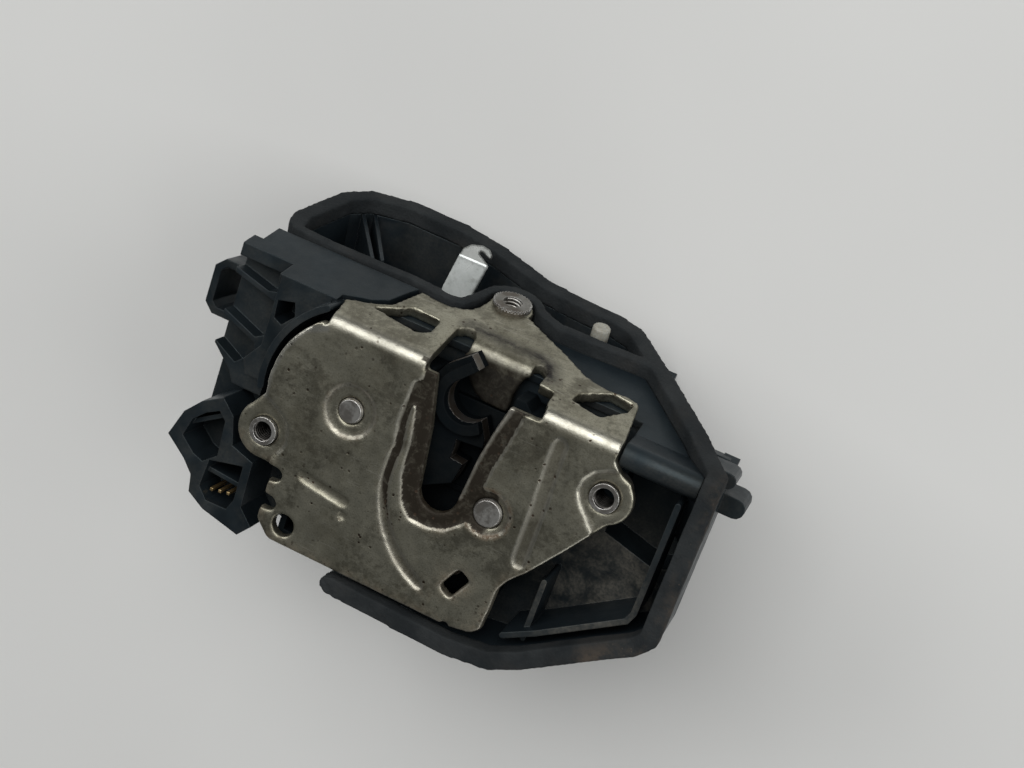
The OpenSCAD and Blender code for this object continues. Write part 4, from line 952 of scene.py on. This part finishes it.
class LOCK_OT_latch(bpy.types.Operator):
    """Finishes the catch, the pawl and what carries them"""
    bl_idname = "lock.latch"
    bl_label = "Catch and pawl"

    def execute(self, context):
        finish_nodes("back_plate", "latch_case", "rotary_catch", "catch_jacket", "pawl",
                     "pawl_jacket", "catch_spring", "pawl_spring", "latch_switch")
        return {"FINISHED"}


class LOCK_OT_housing(bpy.types.Operator):
    """Finishes the moulded housing, its cover and the connector"""
    bl_idname = "lock.housing"
    bl_label = "Housing"

    def execute(self, context):
        finish_nodes("housing", "rear_cover", "connector_socket", "connector_pins", "contact_strip")
        return {"FINISHED"}


def ripple(rng, at, low, high, count):
    """Mean of sine waves in random directions, at places in millimetres."""
    waves = rng.uniform(low, high, (count, 3)) * rng.choice([-1, 1], (count, 3))
    shifts = rng.uniform(0, 6.28, count)
    return sum(np.sin(at @ wave + shift) for wave, shift in zip(waves, shifts)) / count


class LOCK_OT_seal(bpy.types.Operator):
    """Makes the old foam seal with its torn end"""
    bl_idname = "lock.seal"
    bl_label = "Seal"

    def execute(self, context):
        mesh = softened("perimeter_seal", context.scene.lock_seal.voxel, "seal_worn", rounds=6)
        at = points_of(mesh)
        rng = np.random.default_rng(7)
        broad = ripple(rng, at, low=0.12, high=0.55, count=10)
        fine = ripple(rng, at, low=1.4, high=3.2, count=12)
        # The foam is ragged where it tore off
        torn = fade(distance(at[:, :2], TORN_END), 1, 7)
        lift = SEAL_WAVE * broad + SEAL_GRIT * fine - SEAL_SINK
        lift += torn * (TORN_GRIT * fine - TORN_SINK)
        move_points(mesh, at + normals_of(mesh) * lift[:, None])
        outside = fade(line_distance(at[:, :2], DIRTY_SIDE), 0.8, 5.0)
        paint(mesh, "dirty", most(0.9 * outside, 0.25 * broad))
        new_piece("seal_worn", mesh, "seal", "frame", ["perimeter_seal"])
        return {"FINISHED"}


class LOCK_OT_lever(bpy.types.Operator):
    """Makes the stamped release lever with rounded edges"""
    bl_idname = "lock.lever"
    bl_label = "Release lever"

    def execute(self, context):
        mesh = softened("release_lever", LEVER_VOXEL, "release_lever_stamped", rounds=3)
        at = points_of(mesh)
        # Marks the hooked end for its painted shade
        paint(mesh, "hook_shaded", (at[:, 1] > HOOK_Y) * (at[:, 2] < HOOK_Z))
        new_piece("release_lever_stamped", mesh, "zinc", "handle_lever",
                  ["release_lever"])
        finish_nodes("lever_spring")
        return {"FINISHED"}


class LOCK_OT_drive(bpy.types.Operator):
    """Finishes the lock motor, its gears, the slider and the peg"""
    bl_idname = "lock.drive"
    bl_label = "Lock drive"

    def execute(self, context):
        finish_nodes("lock_motor", "motor_shaft", "worm", "worm_wheel", "lock_slider",
                     "lock_switch")
        mesh = lathe("lock_peg_rounded", PEG_PROFILE)
        mesh.transform(Matrix.Translation(on_flange(*PEG, 0)) @ FLANGE_TURN)
        new_piece("lock_peg_rounded", mesh, "peg", "slider", ["lock_peg"])
        return {"FINISHED"}


class LOCK_OT_stage(bpy.types.Operator):
    """Sets the table top, the lamps and the camera"""
    bl_idname = "lock.stage"
    bl_label = "Stage"

    def execute(self, context):
        settings = context.scene.lock_stage
        half = settings.size / 2
        low = CAD_BOX[0][2]
        mesh = bpy.data.meshes.new("table_top")
        corners = [(-half, -half, low), (half, -half, low), (half, half, low), (-half, half, low)]
        mesh.from_pydata(corners, [], [(0, 1, 2, 3)])
        material, w, shader = start_material("table_paper", 0.7)
        cloud = w.between(w.noise(6.0, 3.0, 0.5), 0.3, 0.7)
        colour = w.blend(cloud, shaded(settings.floor, 0.96), settings.floor)
        w.feed(shader.inputs["Base Color"], colour)
        mesh.materials.append(material)
        linked("table_top", mesh)
        self.lamps(context)
        self.camera(context)
        context.scene.view_settings.view_transform = "Standard"
        return {"FINISHED"}

    def lamps(self, context):
        world = bpy.data.worlds.new("pale_room")
        world.use_nodes = True
        context.scene.world = world
        ground = world.node_tree.nodes["Background"]
        ground.inputs["Color"].default_value = ROOM_COLOUR
        ground.inputs["Strength"].default_value = ROOM_LEVEL
        for name, place, size, power in LAMPS:
            lamp = bpy.data.lights.new(name, "AREA")
            lamp.shape = "SQUARE"
            lamp.size = size
            lamp.energy = power
            holder = linked(name, lamp)
            holder.location = place
            holder.rotation_euler = (LAMPS_AIM - Vector(place)).to_track_quat("-Z", "Y").to_euler()

    def camera(self, context):
        camera = bpy.data.cameras.new("camera")
        camera.lens = CAMERA_LENS
        camera.sensor_width = 36.0
        camera.clip_start = 0.01
        holder = linked("camera", camera)
        turn = Matrix((CAMERA_RIGHT, CAMERA_UP, CAMERA_BACK)).transposed().to_4x4()
        holder.matrix_world = Matrix.Translation(metres(*CAMERA_AT)) @ turn
        context.scene.camera = holder


class LOCK_PT_panel(bpy.types.Panel):
    """Lists the pieces of the door lock"""
    bl_idname = "LOCK_PT_panel"
    bl_label = "Door lock"
    bl_space_type = "VIEW_3D"
    bl_region_type = "UI"
    bl_category = "Door lock"

    def draw(self, context):
        for piece in PIECES:
            self.layout.operator(piece.bl_idname)
        for label in SETTINGS:
            group = getattr(context.scene, label)
            for field in group.__annotations__:
                self.layout.prop(group, field)


PIECES = (LOCK_OT_stage, LOCK_OT_face_plate, LOCK_OT_bushes, LOCK_OT_latch, LOCK_OT_housing,
          LOCK_OT_seal, LOCK_OT_lever, LOCK_OT_drive)
SETTINGS = {"lock_sheet": SheetSettings, "lock_plastic": PlasticSettings, "lock_seal": SealSettings,
            "lock_stage": StageSettings}


def register():
    for made in (*SETTINGS.values(), *PIECES, LOCK_PT_panel):
        bpy.utils.register_class(made)
    for label, kind in SETTINGS.items():
        setattr(bpy.types.Scene, label, bpy.props.PointerProperty(type=kind))


def unregister():
    for label in SETTINGS:
        delattr(bpy.types.Scene, label)
    for made in (LOCK_PT_panel, *reversed(PIECES), *reversed(SETTINGS.values())):
        bpy.utils.unregister_class(made)


def main():
    register()
    bpy.ops.lock.stage()
    bpy.ops.lock.face_plate()
    bpy.ops.lock.bushes()
    bpy.ops.lock.latch()
    bpy.ops.lock.housing()
    bpy.ops.lock.seal()
    bpy.ops.lock.lever()
    bpy.ops.lock.drive()


if __name__ == "__main__":
    main()
